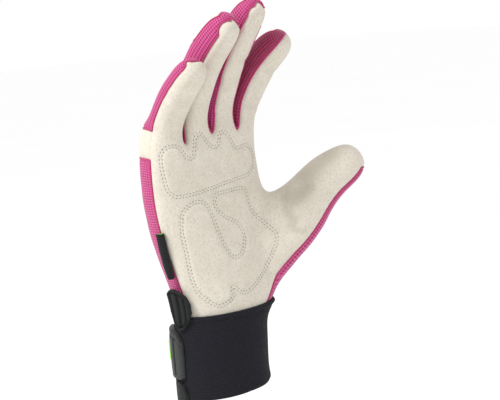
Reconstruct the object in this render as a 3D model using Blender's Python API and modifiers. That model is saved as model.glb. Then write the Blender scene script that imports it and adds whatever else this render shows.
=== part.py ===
"""A right-hand gardening glove in its worn form, held up at the mouth of its cuff.

The hand part is one form, a coarse cage with Subdivision Surface, and each leather or mesh
piece is a wall cut from that form along its seams. The wrist axis is +Z, the palm faces -Y
and the thumb points to +X. The origin is the centre of the cuff's mouth. Metres throughout.
"""
import math
from collections import namedtuple

import bmesh
import bpy
import numpy as np
from mathutils import Matrix, Vector
from mathutils.bvhtree import BVHTree

# Walls and clearances
SUEDE_WALL = 0.0013
MESH_WALL = 0.0014
CUFF_WALL = 0.0021
SEAM_GAP = 0.0004
SEAM_TAPER = 0.0008
SEAT_GAP = 0.00035
SHARP_ANGLE = 50.0

# Cuff and wrist
CUFF_HEIGHT = 0.0515
MOUTH_RISE = 0.0012

# Hand
PALM_RISE = 0.1055
PALM_DEPTH = 0.0330
STRAP_HEIGHT = 0.0170
STRAP_RISE = 0.0105
SEAM_FORWARD = 0.0070
CAGE_GROWTH = 1.015
CORNER_PLACE_SHARE = 0.90
STRAP_CORNER_SHARE = 0.5

# Fingers and thumb
Finger = namedtuple("Finger", "name width depth length lean bend curl turn")
FINGERS = (
    Finger("little", 0.0210, 0.0190, 0.0590, 2.0, 29.0, 25.0, 0.0),
    Finger("ring", 0.0210, 0.0232, 0.0870, 4.5, 11.0, 43.0, 9.0),
    Finger("middle", 0.0215, 0.0205, 0.0910, 5.0, 15.0, 30.0, 4.0),
    Finger("index", 0.0220, 0.0210, 0.0680, 14.0, 12.0, 45.0, 4.0),
)
FINGER_GROWTH = 1.10
THUMB_WIDTH = 0.0290
THUMB_DEPTH = 0.0250
THUMB_LENGTH = 0.0820
THUMB_LEAN = 48.0
THUMB_SWING = 42.0
THUMB_CURL = 10.0
THUMB_SEAM_ANGLE = 40.0

# Sections of the hand, from the mouth up. Height is a share of the cuff's height up to the
# hem and of the palm's rise above it; widths, depths and centres are shares of the knuckles'.
HandRow = namedtuple("HandRow", "name base height width depth centre_x centre_y squareness spread")
HAND_ROWS = (
    HandRow("mouth", "cuff", 0.000, 0.715, 1.320, 0.000, 0.00, 2.0, 0.0),
    HandRow("cuff_middle", "cuff", 0.420, 0.710, 1.300, 0.000, 0.00, 2.0, 0.0),
    HandRow("tuck", "cuff", 0.815, 0.720, 1.290, 0.006, 0.00, 2.0, 0.0),
    HandRow("hem", "cuff", 1.000, 0.840, 1.300, 0.070, 0.00, 2.1, 0.1),
    HandRow("thumb_foot", "palm", 0.100, 0.950, 1.280, 0.110, 0.04, 2.2, 0.3),
    HandRow("thumb_middle", "palm", 0.360, 1.000, 1.200, 0.052, 0.18, 2.4, 0.6),
    HandRow("thumb_top", "palm", 0.630, 1.045, 1.120, 0.018, 0.28, 2.6, 0.9),
    HandRow("knuckle", "palm", 0.880, 1.015, 1.040, 0.000, 0.26, 2.8, 1.0),
    HandRow("crotch", "palm", 1.000, 0.985, 0.960, 0.018, 0.18, 2.9, 1.0),
)

# Rise of the crotch row at each column, as a share of the strap's height
CROTCH_RISE = {
    "U": 0.85, "F0": 0.40, "F1": 0.05, "F2": -0.20, "F3": 0.05, "F4": 0.25, "F5": 0.30,
    "F6": 0.15, "F7": 0.30, "F8": 0.50, "R": 0.80, "B8": 0.85, "B7": 0.80, "B6": 0.72,
    "B5": 0.80, "B4": 0.75, "B3": 0.75, "B2": 0.65, "B1": 0.80, "B0": 0.85,
    "M2": -0.10, "M4": 0.30, "M6": 0.25,
}

# Sections of a finger, from its base to its tip
FingerRow = namedtuple("FingerRow", "reach width depth bend")
FINGER_ROWS = (
    FingerRow(0.14, 0.92, 0.98, 0.12),
    FingerRow(0.32, 0.96, 0.97, 0.30),
    FingerRow(0.50, 0.96, 0.95, 0.55),
    FingerRow(0.68, 0.94, 0.92, 0.78),
    FingerRow(0.85, 0.90, 0.86, 0.94),
    FingerRow(0.965, 0.70, 0.64, 1.00),
)
FINGER_TIP_REACH = 1.02
CORNER_SIDE = 0.80
CORNER_FACE = 0.84
CAP_ROWS = 2
OVERLAP_ROW = 1
RING_POINTS = 8

ThumbRow = namedtuple("ThumbRow", "reach width depth bend drop")
THUMB_ROWS = (
    ThumbRow(0.28, 1.42, 1.30, 0.00, 0.14),
    ThumbRow(0.48, 1.11, 1.10, 0.20, 0.045),
    ThumbRow(0.66, 1.05, 0.98, 0.50, -0.03),
    ThumbRow(0.82, 0.93, 0.90, 0.80, 0.00),
    ThumbRow(0.95, 0.68, 0.66, 1.00, 0.00),
)
THUMB_TIP_REACH = 1.01

SECTIONS = {row.name: row for row in HAND_ROWS}

# Columns of the hand's sections, round from the little-finger side by the palm
FRONT = [f"F{k}" for k in range(9)]
BACK = [f"B{k}" for k in range(8, -1, -1)]
COLUMNS = ["U"] + FRONT + ["R"] + BACK
WRIST_ANGLES = dict(zip(COLUMNS, (
    188, 204, 219, 235, 250, 264, 277, 289, 300, 328, 354,
    18, 36, 54, 72, 90, 108, 126, 144, 164)))

# Closure: angles round the wrist in degrees, edges as shares of the cuff's height
PLATE_STEP = 7.0
PLATE_COLUMNS = 6
PLATE_ROWS = 6
CLASP_THICKNESS = 0.0032
BADGE_THICKNESS = 0.0011
STRAP_THICKNESS = 0.0016
TAB_THICKNESS = 0.0020
Station = namedtuple("Station", "angle low high")
CLASP = (
    Station(106.0, 0.30, 0.72),
    Station(111.0, 0.25, 0.79),
    Station(146.0, 0.24, 0.85),
    Station(166.0, 0.23, 0.84),
    Station(177.0, 0.23, 0.78),
    Station(182.0, 0.26, 0.69),
)
BADGE = (
    Station(117.0, 0.43, 0.65),
    Station(121.0, 0.40, 0.68),
    Station(147.0, 0.40, 0.68),
    Station(151.0, 0.43, 0.65),
)
STRAP = (
    Station(24.0, 0.31, 0.71),
    Station(105.0, 0.31, 0.71),
)
PULL_TAB = (
    Station(168.5, 1.17, 1.25),
    Station(171.0, 1.07, 1.31),
    Station(175.0, 0.93, 1.35),
    Station(180.0, 0.845, 1.355),
    Station(185.0, 0.85, 1.34),
    Station(189.0, 0.90, 1.31),
    Station(193.0, 0.97, 1.27),
    Station(196.0, 1.06, 1.16),
)
TAIL = (
    Station(152.0, -0.07, 0.20),
    Station(175.0, -0.08, 0.19),
    Station(180.0, -0.08, 0.16),
    Station(184.0, -0.08, 0.04),
)

# Label in the little-finger seam
LABEL_FOOT = 0.0765
LABEL_LENGTH = 0.0290
LABEL_WIDTH = 0.0054
LABEL_STAND = 0.0049
LABEL_WALL = 0.0008
LABEL_FORWARD = -0.0020
LABEL_FACING = 196.0
LABEL_STATIONS = 8
LABEL_SIDES = 10
LABEL_FOOT_WIDTH = 0.55
LABEL_TAPER_SHARE = 0.25

Look = namedtuple("Look", "color roughness metallic")
LOOKS = {
    "suede": Look((0.716, 0.665, 0.578, 1.0), 0.95, 0.0),
    "mesh": Look((0.694, 0.065, 0.296, 1.0), 0.80, 0.0),
    "knit": Look((0.027, 0.027, 0.032, 1.0), 0.90, 0.0),
    "webbing": Look((0.020, 0.021, 0.021, 1.0), 0.75, 0.0),
    "rubber": Look((0.077, 0.080, 0.084, 1.0), 0.50, 0.0),
    "accent": Look((0.305, 0.791, 0.027, 1.0), 0.55, 0.0),
}
PANELS = {
    "palm_panel": ("suede", SUEDE_WALL),
    "hand_back_panel": ("mesh", MESH_WALL),
    "knuckle_strap": ("suede", SUEDE_WALL),
    "little_back": ("mesh", MESH_WALL),
    "ring_back": ("mesh", MESH_WALL),
    "middle_back": ("mesh", MESH_WALL),
    "index_back": ("mesh", MESH_WALL),
    "ring_tip_cap": ("suede", SUEDE_WALL),
    "middle_tip_cap": ("suede", SUEDE_WALL),
    "index_tip_cap": ("suede", SUEDE_WALL),
    "little_side_strip": ("mesh", MESH_WALL),
    "ring_side_strip": ("mesh", MESH_WALL),
    "middle_side_strip": ("mesh", MESH_WALL),
    "index_side_strip": ("mesh", MESH_WALL),
}
COLLECTION = "gardening_glove"


def clear_scene():
    for obj in list(bpy.data.objects):
        bpy.data.objects.remove(obj, do_unlink=True)
    for group in list(bpy.data.collections):
        bpy.data.collections.remove(group)


def material(name):
    found = bpy.data.materials.get(name)
    if found:
        return found
    look = LOOKS[name]
    made = bpy.data.materials.new(name)
    made.use_nodes = True
    shader = made.node_tree.nodes["Principled BSDF"]
    shader.inputs["Base Color"].default_value = look.color
    shader.inputs["Roughness"].default_value = look.roughness
    shader.inputs["Metallic"].default_value = look.metallic
    made.diffuse_color = look.color
    return made


def add_object(name, mesh, look, group):
    obj = bpy.data.objects.new(name, mesh)
    if not mesh.materials:
        mesh.materials.append(material(look))
    group.objects.link(obj)
    return obj


# The form: hand sections

def knuckle_width():
    return sum(finger.width for finger in FINGERS)


def knuckle_places():
    """Share of the half width at which each front or back column stands at the knuckles."""
    half = knuckle_width() / 2
    places = {}
    edge = -half
    for k, finger in enumerate(FINGERS):
        places[2 * k] = edge / half
        places[2 * k + 1] = (edge + finger.width / 2) / half
        edge += finger.width
    places[0] = -CORNER_PLACE_SHARE
    places[2 * len(FINGERS)] = CORNER_PLACE_SHARE
    return places


def row_height(row, column):
    if row.base == "cuff":
        level = row.height * CUFF_HEIGHT
        if row.name == "mouth":
            level += MOUTH_RISE * math.cos(math.radians(WRIST_ANGLES[column]))
        return level
    level = CUFF_HEIGHT + row.height * PALM_RISE
    if row.name == "knuckle":
        share = STRAP_CORNER_SHARE if column in ("F0", "F8") else float(column not in FRONT)
        level += share * STRAP_RISE
    if row.name == "crotch":
        level += CROTCH_RISE[column] * STRAP_HEIGHT
    return level


def hand_point(row, column):
    half_width = row.width * knuckle_width() / 2 * CAGE_GROWTH
    half_depth = row.depth * PALM_DEPTH / 2 * CAGE_GROWTH
    centre = Vector((row.centre_x * knuckle_width(), row.centre_y * PALM_DEPTH, 0.0))
    angle = math.radians(WRIST_ANGLES[column])
    across = math.cos(angle)
    if column in ("U", "R"):
        side = -1.0 if column == "U" else 1.0
        forward = -SEAM_FORWARD / half_depth if row.base == "palm" else math.sin(angle)
        across = side * (1 - abs(forward) ** row.squareness) ** (1 / row.squareness)
    else:
        place = knuckle_places()[int(column[1])]
        across = (1 - row.spread) * across + row.spread * place
        fullness = (1 - abs(across) ** row.squareness) ** (1 / row.squareness)
        forward = -fullness if column[0] == "F" else fullness
    return centre + Vector((across * half_width, forward * half_depth, row_height(row, column)))


def hand_cage(points, faces):
    for row in HAND_ROWS:
        for column in COLUMNS:
            points[row.name, column] = hand_point(row, column)
    crotch = HAND_ROWS[-1].name
    for k in (2, 4, 6):
        middle = (points[crotch, f"F{k}"] + points[crotch, f"B{k}"]) / 2
        middle.z = CUFF_HEIGHT + PALM_RISE + CROTCH_RISE[f"M{k}"] * STRAP_HEIGHT
        points[crotch, f"M{k}"] = middle
    around = list(zip(COLUMNS, COLUMNS[1:] + COLUMNS[:1]))
    names = [row.name for row in HAND_ROWS]
    for low, high in zip(names, names[1:]):
        for left, right in around:
            in_hole = low in ("thumb_foot", "thumb_middle") and left in ("F7", "F8")
            if in_hole:
                continue
            quad = [(low, left), (low, right), (high, right), (high, left)]
            faces.append((quad, hand_label(low, left)))


def hand_label(low, left):
    if low in ("mouth", "cuff_middle"):
        return "cuff"
    if low == "tuck":
        return "palm_tuck" if left == "U" or left in FRONT[:7] else "back_tuck"
    if left == "U" or left in FRONT[:7]:
        return "palm_panel"
    if left in ("F7", "F8"):
        return "hand_back_panel" if low == "hem" else "palm_panel"
    return "knuckle_strap" if low == "knuckle" else "hand_back_panel"


# The form: fingers and thumb

def tube_rings(points, faces, name, base, frames, tip, label):
    """Rings of points from a base ring to a closed tip."""
    below = base
    for number, (centre, side, palm, width, depth, offsets) in enumerate(frames):
        ring = []
        for k, (across, forward) in enumerate(offsets):
            key = (name, number, k)
            points[key] = centre + side * (across * width / 2) + palm * (forward * depth / 2)
            ring.append(key)
        for k in range(RING_POINTS):
            n = (k + 1) % RING_POINTS
            faces.append(([below[k], below[n], ring[n], ring[k]], label(k, number)))
        below = ring
    points[name, "tip"] = tip
    for k in range(0, RING_POINTS, 2):
        quad = [below[k], below[k + 1], below[(k + 2) % RING_POINTS], (name, "tip")]
        faces.append((quad, label(k, "tip")))


def finger_label(finger, last):
    sides = {"little": ((0, 1, 7), (2, 3)), "index": ((0, 1, 2), (6, 7))}
    palm, strip = sides.get(finger, ((0, 1), (2, 3, 6, 7)))
    palm_tips = {"little": (0, 2, 6), "index": (0, 2)}.get(finger, (0,))

    def label(column, number):
        if number == "tip":
            side = "little_back" if finger == "little" else f"{finger}_side_strip"
            return "palm_panel" if column in palm_tips else side
        if (finger, column) == ("little", 2) and number > 0:
            return "palm_panel"
        if (finger, column, number) == ("ring", 7, OVERLAP_ROW):
            return "palm_panel"
        if column in strip:
            return f"{finger}_side_strip"
        if column in palm:
            return "palm_panel"
        capped = finger != "little" and column in (4, 5) and number > last - CAP_ROWS
        return f"{finger}_tip_cap" if capped else f"{finger}_back"

    return label


def finger_cage(points, faces, number, finger):
    low = 2 * number
    left = "U" if number == 0 else f"M{low}"
    right = "R" if number == len(FINGERS) - 1 else f"M{low + 2}"
    names = [f"F{low}", f"F{low + 1}", f"F{low + 2}", right, f"B{low + 2}", f"B{low + 1}",
             f"B{low}", left]
    base = [(HAND_ROWS[-1].name, column) for column in names]
    centre = sum((points[key] for key in base), Vector()) / RING_POINTS
    lean = Matrix.Rotation(math.radians(finger.lean), 3, "Y")
    offsets = [(-CORNER_SIDE, CORNER_FACE), (0, 1), (CORNER_SIDE, CORNER_FACE), (1, 0),
               (CORNER_SIDE, -CORNER_FACE), (0, -1), (-CORNER_SIDE, -CORNER_FACE), (-1, 0)]
    frames = []
    reach = 0.0
    bend = 0.0
    for row in FINGER_ROWS:
        middle = finger.bend + finger.curl * (bend + row.bend) / 2
        centre = centre + along(lean, middle) * (row.reach - reach) * finger.length
        reach = row.reach
        bend = row.bend
        angle = finger.bend + finger.curl * bend
        direction = along(lean, angle)
        turn = Matrix.Rotation(math.radians(finger.turn), 3, direction)
        side = turn @ (lean @ Vector((1, 0, 0)))
        palm = side.cross(direction)
        frames.append((centre, side, palm, row.width * finger.width * FINGER_GROWTH,
                       row.depth * finger.depth * FINGER_GROWTH, offsets))
    tip = centre + direction * (FINGER_TIP_REACH - reach) * finger.length
    label = finger_label(finger.name, len(FINGER_ROWS) - 1)
    tube_rings(points, faces, finger.name, base, frames, tip, label)


def along(lean, bend):
    """Direction of a finger bent towards the palm by an angle in degrees."""
    angle = math.radians(bend)
    return lean @ Vector((0, -math.sin(angle), math.cos(angle)))


def thumb_label(column, number):
    if number == "tip" or column in (3, 4, 5, 6):
        return "palm_panel"
    return "hand_back_panel"


def thumb_cage(points, faces):
    foot, middle, top = "thumb_foot", "thumb_middle", "thumb_top"
    base = [(foot, "F7"), (middle, "F7"), (top, "F7"), (top, "F8"),
            (top, "R"), (middle, "R"), (foot, "R"), (foot, "F8")]
    base.reverse()
    centre = sum((points[key] for key in base), Vector()) / RING_POINTS
    swing = math.radians(THUMB_SWING)
    outward = Vector((math.cos(swing), -math.sin(swing), 0))
    across = Vector((-math.sin(swing), -math.cos(swing), 0))
    frames = []
    reach = 0.0
    for row in THUMB_ROWS:
        lean = math.radians(THUMB_LEAN + THUMB_CURL * row.bend)
        direction = outward * math.sin(lean) + Vector((0, 0, math.cos(lean)))
        under = outward * math.cos(lean) - Vector((0, 0, math.sin(lean)))
        centre = centre + direction * (row.reach - reach) * THUMB_LENGTH
        reach = row.reach
        offsets = []
        for k in range(RING_POINTS):
            angle = math.radians(THUMB_SEAM_ANGLE - (k + 1) * 360 / RING_POINTS)
            offsets.append((math.cos(angle), math.sin(angle)))
        frames.append((centre + under * row.drop * THUMB_WIDTH, under, across,
                       row.width * THUMB_WIDTH * FINGER_GROWTH,
                       row.depth * THUMB_DEPTH * FINGER_GROWTH, offsets))
    tip = centre + direction * (THUMB_TIP_REACH - reach) * THUMB_LENGTH
    tube_rings(points, faces, "thumb", base, frames, tip, thumb_label)


def make_form(level):
    """The whole hand as one smooth surface, its seams marked by the faces' material index."""
    points = {}
    faces = []
    hand_cage(points, faces)
    for number, finger in enumerate(FINGERS):
        finger_cage(points, faces, number, finger)
    thumb_cage(points, faces)
    order = {key: index for index, key in enumerate(points)}
    labels = ["cuff", "palm_tuck", "back_tuck"] + list(PANELS)
    mesh = bpy.data.meshes.new("form")
    mesh.from_pydata([tuple(p) for p in points.values()], [],
                     [[order[key] for key in quad] for quad, _ in faces])
    for name in labels:
        mesh.materials.append(bpy.data.materials.new("guide_" + name))
    mesh.polygons.foreach_set("material_index", [labels.index(label) for _, label in faces])
    bm = bmesh.new()
    bm.from_mesh(mesh)
    loose = [vert for vert in bm.verts if not vert.link_faces]
    bmesh.ops.delete(bm, geom=loose, context="VERTS")
    bm.to_mesh(mesh)
    bm.free()
    cage = bpy.data.objects.new("form", mesh)
    bpy.context.scene.collection.objects.link(cage)
    smooth = cage.modifiers.new("smooth", "SUBSURF")
    smooth.levels = level
    smooth.render_levels = level
    surface = bpy.data.meshes.new_from_object(
        cage.evaluated_get(bpy.context.evaluated_depsgraph_get()))
    bpy.data.objects.remove(cage, do_unlink=True)
    places = [v.co.copy() for v in surface.vertices]
    normals = [v.normal.copy() for v in surface.vertices]
    quads = [tuple(p.vertices) for p in surface.polygons]
    marks = [labels[p.material_index] for p in surface.polygons]
    for name in labels:
        bpy.data.materials.remove(bpy.data.materials["guide_" + name])
    return places, normals, quads, marks


# Walls cut from the form

def rim_shift(places, quads, chosen):
    """For each rim point of the chosen faces, the way into them along the surface."""
    uses = {}
    inward = {}
    for index in chosen:
        quad = quads[index]
        centre = sum((places[v] for v in quad), Vector()) / len(quad)
        for a, b in zip(quad, quad[1:] + quad[:1]):
            uses.setdefault(frozenset((a, b)), []).append((a, b))
            for v in (a, b):
                inward.setdefault(v, []).append(centre - places[v])
    rim = {v for edge, sides in uses.items() if len(sides) == 1 for v in edge}
    open_edges = [sides[0] for sides in uses.values() if len(sides) == 1]
    shift = {}
    for v in rim:
        ends = [Vector(places[b] - places[a]).normalized() for a, b in open_edges if v in (a, b)]
        tangent = sum(ends, Vector()).normalized()
        way = sum(inward[v], Vector())
        way -= tangent * way.dot(tangent)
        shift[v] = way.normalized()
    return shift, open_edges


def wall(name, form, chosen, outside, inside, look, group):
    """A closed wall over the chosen faces, from one offset along the normals to another."""
    places, normals, quads, _ = form
    shift, open_edges = rim_shift(places, quads, chosen)
    used = sorted({v for index in chosen for v in quads[index]})
    order = {v: k for k, v in enumerate(used)}
    count = len(used)
    still = Vector()
    points = [places[v] + shift.get(v, still) * SEAM_GAP / 2 + normals[v] * outside for v in used]
    points += [places[v] + shift.get(v, still) * (SEAM_GAP / 2 + SEAM_TAPER) + normals[v] * inside
               for v in used]
    faces = [[order[v] for v in quads[index]] for index in chosen]
    faces += [[order[v] + count for v in reversed(quads[index])] for index in chosen]
    faces += [[order[b], order[a], order[a] + count, order[b] + count] for a, b in open_edges]
    mesh = bpy.data.meshes.new(name)
    mesh.from_pydata([tuple(p) for p in points], [], faces)
    mesh.shade_smooth()
    mesh.set_sharp_from_angle(angle=math.radians(SHARP_ANGLE))
    return add_object(name, mesh, look, group)


# Trim on the cuff and the seam

class Skin:
    """The form's outside, found by a ray from inside it."""

    def __init__(self, form):
        places, _, quads, _ = form
        self.tree = BVHTree.FromPolygons([tuple(p) for p in places], quads)

    def at(self, start, direction):
        return self.tree.ray_cast(start, direction)[0]

    def wrist(self, angle, height, offset):
        """A point off the wrist, at an angle in degrees round its axis."""
        turn = math.radians(angle)
        direction = Vector((math.cos(turn), math.sin(turn), 0))
        hit = self.at(Vector((0, 0, max(height, 2 * MOUTH_RISE))), direction)
        hit.z = height
        row = SECTIONS["cuff_middle"]
        width_share = row.width * knuckle_width() / (row.depth * PALM_DEPTH)
        outward = Vector((hit.x, hit.y * width_share ** 2, 0)).normalized()
        return hit + outward * offset


def between(stations, angle):
    """Lowest and highest edge of a plate at an angle, from its stations."""
    angles = [row.angle for row in stations]
    low = np.interp(angle, angles, [row.low for row in stations])
    high = np.interp(angle, angles, [row.high for row in stations])
    return float(low), float(high)


def wrapped_plate(name, skin, stations, inside, thickness, look, group, floor=None):
    """A plate bent round the wrist, with its two edges read from a table of stations."""
    first, last = stations[0].angle, stations[-1].angle
    count = max(PLATE_COLUMNS, round((last - first) / PLATE_STEP))
    columns = []
    for k in range(count + 1):
        angle = first + (last - first) * k / count
        low, high = (share * CUFF_HEIGHT for share in between(stations, angle))
        if floor:
            low = max(low, between(floor, angle)[1] * CUFF_HEIGHT + SEAT_GAP)
        heights = [low + (high - low) * j / PLATE_ROWS for j in range(PLATE_ROWS + 1)]
        columns.append([(skin.wrist(angle, z, inside), skin.wrist(angle, z, inside + thickness))
                        for z in heights])
    bm = bmesh.new()
    grid = [[[bm.verts.new(p) for p in pair] for pair in column] for column in columns]
    for a, b in zip(grid, grid[1:]):
        for j in range(PLATE_ROWS):
            bm.faces.new((a[j][1], a[j + 1][1], b[j + 1][1], b[j][1]))
            bm.faces.new((a[j][0], b[j][0], b[j + 1][0], a[j + 1][0]))
        bm.faces.new((a[0][0], a[0][1], b[0][1], b[0][0]))
        bm.faces.new((a[-1][0], b[-1][0], b[-1][1], a[-1][1]))
    for column, turned in ((grid[0], False), (grid[-1], True)):
        for j in range(PLATE_ROWS):
            quad = (column[j][0], column[j + 1][0], column[j + 1][1], column[j][1])
            bm.faces.new(quad[::-1] if turned else quad)
    bmesh.ops.recalc_face_normals(bm, faces=bm.faces)
    mesh = bpy.data.meshes.new(name)
    bm.to_mesh(mesh)
    bm.free()
    mesh.shade_smooth()
    mesh.set_sharp_from_angle(angle=math.radians(SHARP_ANGLE))
    return add_object(name, mesh, look, group)


def side_label(skin, group):
    """A folded label sewn into the little-finger seam: a flattened tube standing on it."""
    facing = math.radians(LABEL_FACING)
    out = Vector((math.cos(facing), math.sin(facing), 0))
    across = out.cross(Vector((0, 0, 1)))
    depth = SECTIONS["thumb_middle"].centre_y * PALM_DEPTH - SEAM_FORWARD - LABEL_FORWARD
    rings = []
    for k in range(LABEL_STATIONS + 1):
        share = k / LABEL_STATIONS
        start = Vector((0, depth, LABEL_FOOT + LABEL_LENGTH * share))
        hit = skin.at(start, Vector((-1, 0, 0)))
        taper = LABEL_FOOT_WIDTH + (1 - LABEL_FOOT_WIDTH) * min(1.0, share / LABEL_TAPER_SHARE)
        centre = hit + out * (SEAT_GAP + LABEL_STAND / 2)
        ring = []
        for reach in (0.0, LABEL_WALL):
            for j in range(LABEL_SIDES):
                turn = 2 * math.pi * j / LABEL_SIDES
                stand = (LABEL_STAND / 2 - reach) * math.cos(turn)
                width = (LABEL_WIDTH / 2 * taper - reach) * math.sin(turn)
                ring.append(centre + out * stand + across * width)
        rings.append(ring)
    bm = bmesh.new()
    made = [[bm.verts.new(p) for p in ring] for ring in rings]
    for a, b in zip(made, made[1:]):
        for j in range(LABEL_SIDES):
            n = (j + 1) % LABEL_SIDES
            bm.faces.new((a[j], a[n], b[n], b[j]))
            bm.faces.new((a[LABEL_SIDES + j], b[LABEL_SIDES + j], b[LABEL_SIDES + n],
                          a[LABEL_SIDES + n]))
    for ring in (made[0], made[-1]):
        for j in range(LABEL_SIDES):
            n = (j + 1) % LABEL_SIDES
            bm.faces.new((ring[j], ring[LABEL_SIDES + j], ring[LABEL_SIDES + n], ring[n]))
    bmesh.ops.recalc_face_normals(bm, faces=bm.faces)
    mesh = bpy.data.meshes.new("side_label")
    bm.to_mesh(mesh)
    bm.free()
    mesh.shade_smooth()
    mesh.set_sharp_from_angle(angle=math.radians(SHARP_ANGLE))
    return add_object("side_label", mesh, "webbing", group)


def build():
    clear_scene()
    group = bpy.data.collections.new(COLLECTION)
    bpy.context.scene.collection.children.link(group)
    form = make_form(1)
    tucks = {"palm_panel": "palm_tuck", "hand_back_panel": "back_tuck"}
    for name, (look, thickness) in PANELS.items():
        marks = (name, tucks.get(name))
        chosen = [k for k, mark in enumerate(form[3]) if mark in marks]
        wall(name, form, chosen, 0.0, -thickness, look, group)
    chosen = [k for k, mark in enumerate(form[3]) if mark in ("cuff", "palm_tuck", "back_tuck")]
    wall("cuff", form, chosen, SEAT_GAP + CUFF_WALL, SEAT_GAP, "knit", group)
    skin = Skin(form)
    on_cuff = CUFF_WALL + 2 * SEAT_GAP
    on_plate = on_cuff + CLASP_THICKNESS + SEAT_GAP
    wrapped_plate("clasp_plate", skin, CLASP, on_cuff, CLASP_THICKNESS, "rubber", group)
    wrapped_plate("clasp_badge", skin, BADGE, on_plate, BADGE_THICKNESS, "accent", group)
    wrapped_plate("closure_strap", skin, STRAP, on_cuff, STRAP_THICKNESS, "webbing", group)
    wrapped_plate("pull_tab", skin, PULL_TAB, on_cuff, TAB_THICKNESS, "webbing", group, CLASP)
    wrapped_plate("strap_tail", skin, TAIL, on_cuff, STRAP_THICKNESS, "webbing", group)
    side_label(skin, group)


build()
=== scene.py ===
"""Looks of the gardening glove: suede palm, mesh back, knitted cuff with its rubber closure.

The hand's form repeats the part's cage, so every skin lies where its solid is. Metres throughout.
"""
import math
from collections import namedtuple

import bmesh
import bpy
import numpy as np
from mathutils import Matrix, Vector, noise
from mathutils.bvhtree import BVHTree
from mathutils.kdtree import KDTree


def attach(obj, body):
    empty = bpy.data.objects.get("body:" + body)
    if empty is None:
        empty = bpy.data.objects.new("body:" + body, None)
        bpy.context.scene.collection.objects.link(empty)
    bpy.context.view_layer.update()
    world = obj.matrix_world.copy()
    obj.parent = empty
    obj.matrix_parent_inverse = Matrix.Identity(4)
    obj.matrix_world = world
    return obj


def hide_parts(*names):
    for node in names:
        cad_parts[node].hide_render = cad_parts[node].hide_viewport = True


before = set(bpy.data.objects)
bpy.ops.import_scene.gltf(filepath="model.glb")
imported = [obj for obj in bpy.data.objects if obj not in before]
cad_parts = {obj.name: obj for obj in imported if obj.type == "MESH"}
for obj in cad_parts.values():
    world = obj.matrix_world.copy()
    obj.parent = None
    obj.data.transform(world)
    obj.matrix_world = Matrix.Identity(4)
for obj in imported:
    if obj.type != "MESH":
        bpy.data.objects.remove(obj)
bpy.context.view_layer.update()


def table(columns, *rows):
    """Rows whose values go by the names of the columns."""
    Row = namedtuple("Row", columns)
    return [Row(*row) for row in rows]


# Camera: the photograph's viewing angle
PHOTO_SIZE = (500, 400)
CAMERA_AZIMUTH = -42.0
CAMERA_ELEVATION = 8.0
CAMERA_ROLL = 5.0
CAMERA_DISTANCE = 0.9
CAMERA_AIM = Vector((0.0187, -0.0169, 0.1176))
SENSOR_WIDTH = 36.0
FOCAL_LENGTH = 103.68

# Walls and clearances
WALLS = {"suede": 0.0013, "mesh": 0.0014}
CUFF_WALL = 0.0021
SEAT_GAP = 0.00035

# Cuff and wrist
CUFF_HEIGHT = 0.0515
MOUTH_RISE = 0.0012

# Hand
PALM_RISE = 0.1055
PALM_DEPTH = 0.0330
STRAP_HEIGHT = 0.0170
STRAP_RISE = 0.0105
SEAM_FORWARD = 0.0070
CAGE_GROWTH = 1.015
CORNER_PLACE_SHARE = 0.90
STRAP_CORNER_SHARE = 0.5

# Fingers and thumb
FINGERS = table(
    "name width depth length lean bend curl turn",
    ("little", 0.0210, 0.0190, 0.0590, 2.0, 29.0, 25.0, 0.0),
    ("ring", 0.0210, 0.0232, 0.0870, 4.5, 11.0, 43.0, 9.0),
    ("middle", 0.0215, 0.0205, 0.0910, 5.0, 15.0, 30.0, 4.0),
    ("index", 0.0220, 0.0210, 0.0680, 14.0, 12.0, 45.0, 4.0))
FINGER_GROWTH = 1.10
THUMB_SIZE = (0.0290, 0.0250, 0.0820)
THUMB_LEAN = 48.0
THUMB_SWING = 42.0
THUMB_CURL = 10.0
THUMB_SEAM_ANGLE = 40.0

# Sections of the hand, from the mouth up. Height is a share of the cuff's height up to the
# hem and of the palm's rise above it; widths, depths and centres are shares of the knuckles'.
HAND_ROWS = table(
    "name base height width depth centre_x centre_y squareness spread",
    ("mouth", "cuff", 0.000, 0.715, 1.320, 0.000, 0.00, 2.0, 0.0),
    ("cuff_middle", "cuff", 0.420, 0.710, 1.300, 0.000, 0.00, 2.0, 0.0),
    ("tuck", "cuff", 0.815, 0.720, 1.290, 0.006, 0.00, 2.0, 0.0),
    ("hem", "cuff", 1.000, 0.840, 1.300, 0.070, 0.00, 2.1, 0.1),
    ("thumb_foot", "palm", 0.100, 0.950, 1.280, 0.110, 0.04, 2.2, 0.3),
    ("thumb_middle", "palm", 0.360, 1.000, 1.200, 0.052, 0.18, 2.4, 0.6),
    ("thumb_top", "palm", 0.630, 1.045, 1.120, 0.018, 0.28, 2.6, 0.9),
    ("knuckle", "palm", 0.880, 1.015, 1.040, 0.000, 0.26, 2.8, 1.0),
    ("crotch", "palm", 1.000, 0.985, 0.960, 0.018, 0.18, 2.9, 1.0))
SECTIONS = {row.name: row for row in HAND_ROWS}

# Rise of the crotch row at each column, as a share of the strap's height
CROTCH_RISE = {
    "U": 0.85, "F0": 0.40, "F1": 0.05, "F2": -0.20, "F3": 0.05, "F4": 0.25, "F5": 0.30,
    "F6": 0.15, "F7": 0.30, "F8": 0.50, "R": 0.80, "B8": 0.85, "B7": 0.80, "B6": 0.72,
    "B5": 0.80, "B4": 0.75, "B3": 0.75, "B2": 0.65, "B1": 0.80, "B0": 0.85,
    "M2": -0.10, "M4": 0.30, "M6": 0.25,
}

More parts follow.
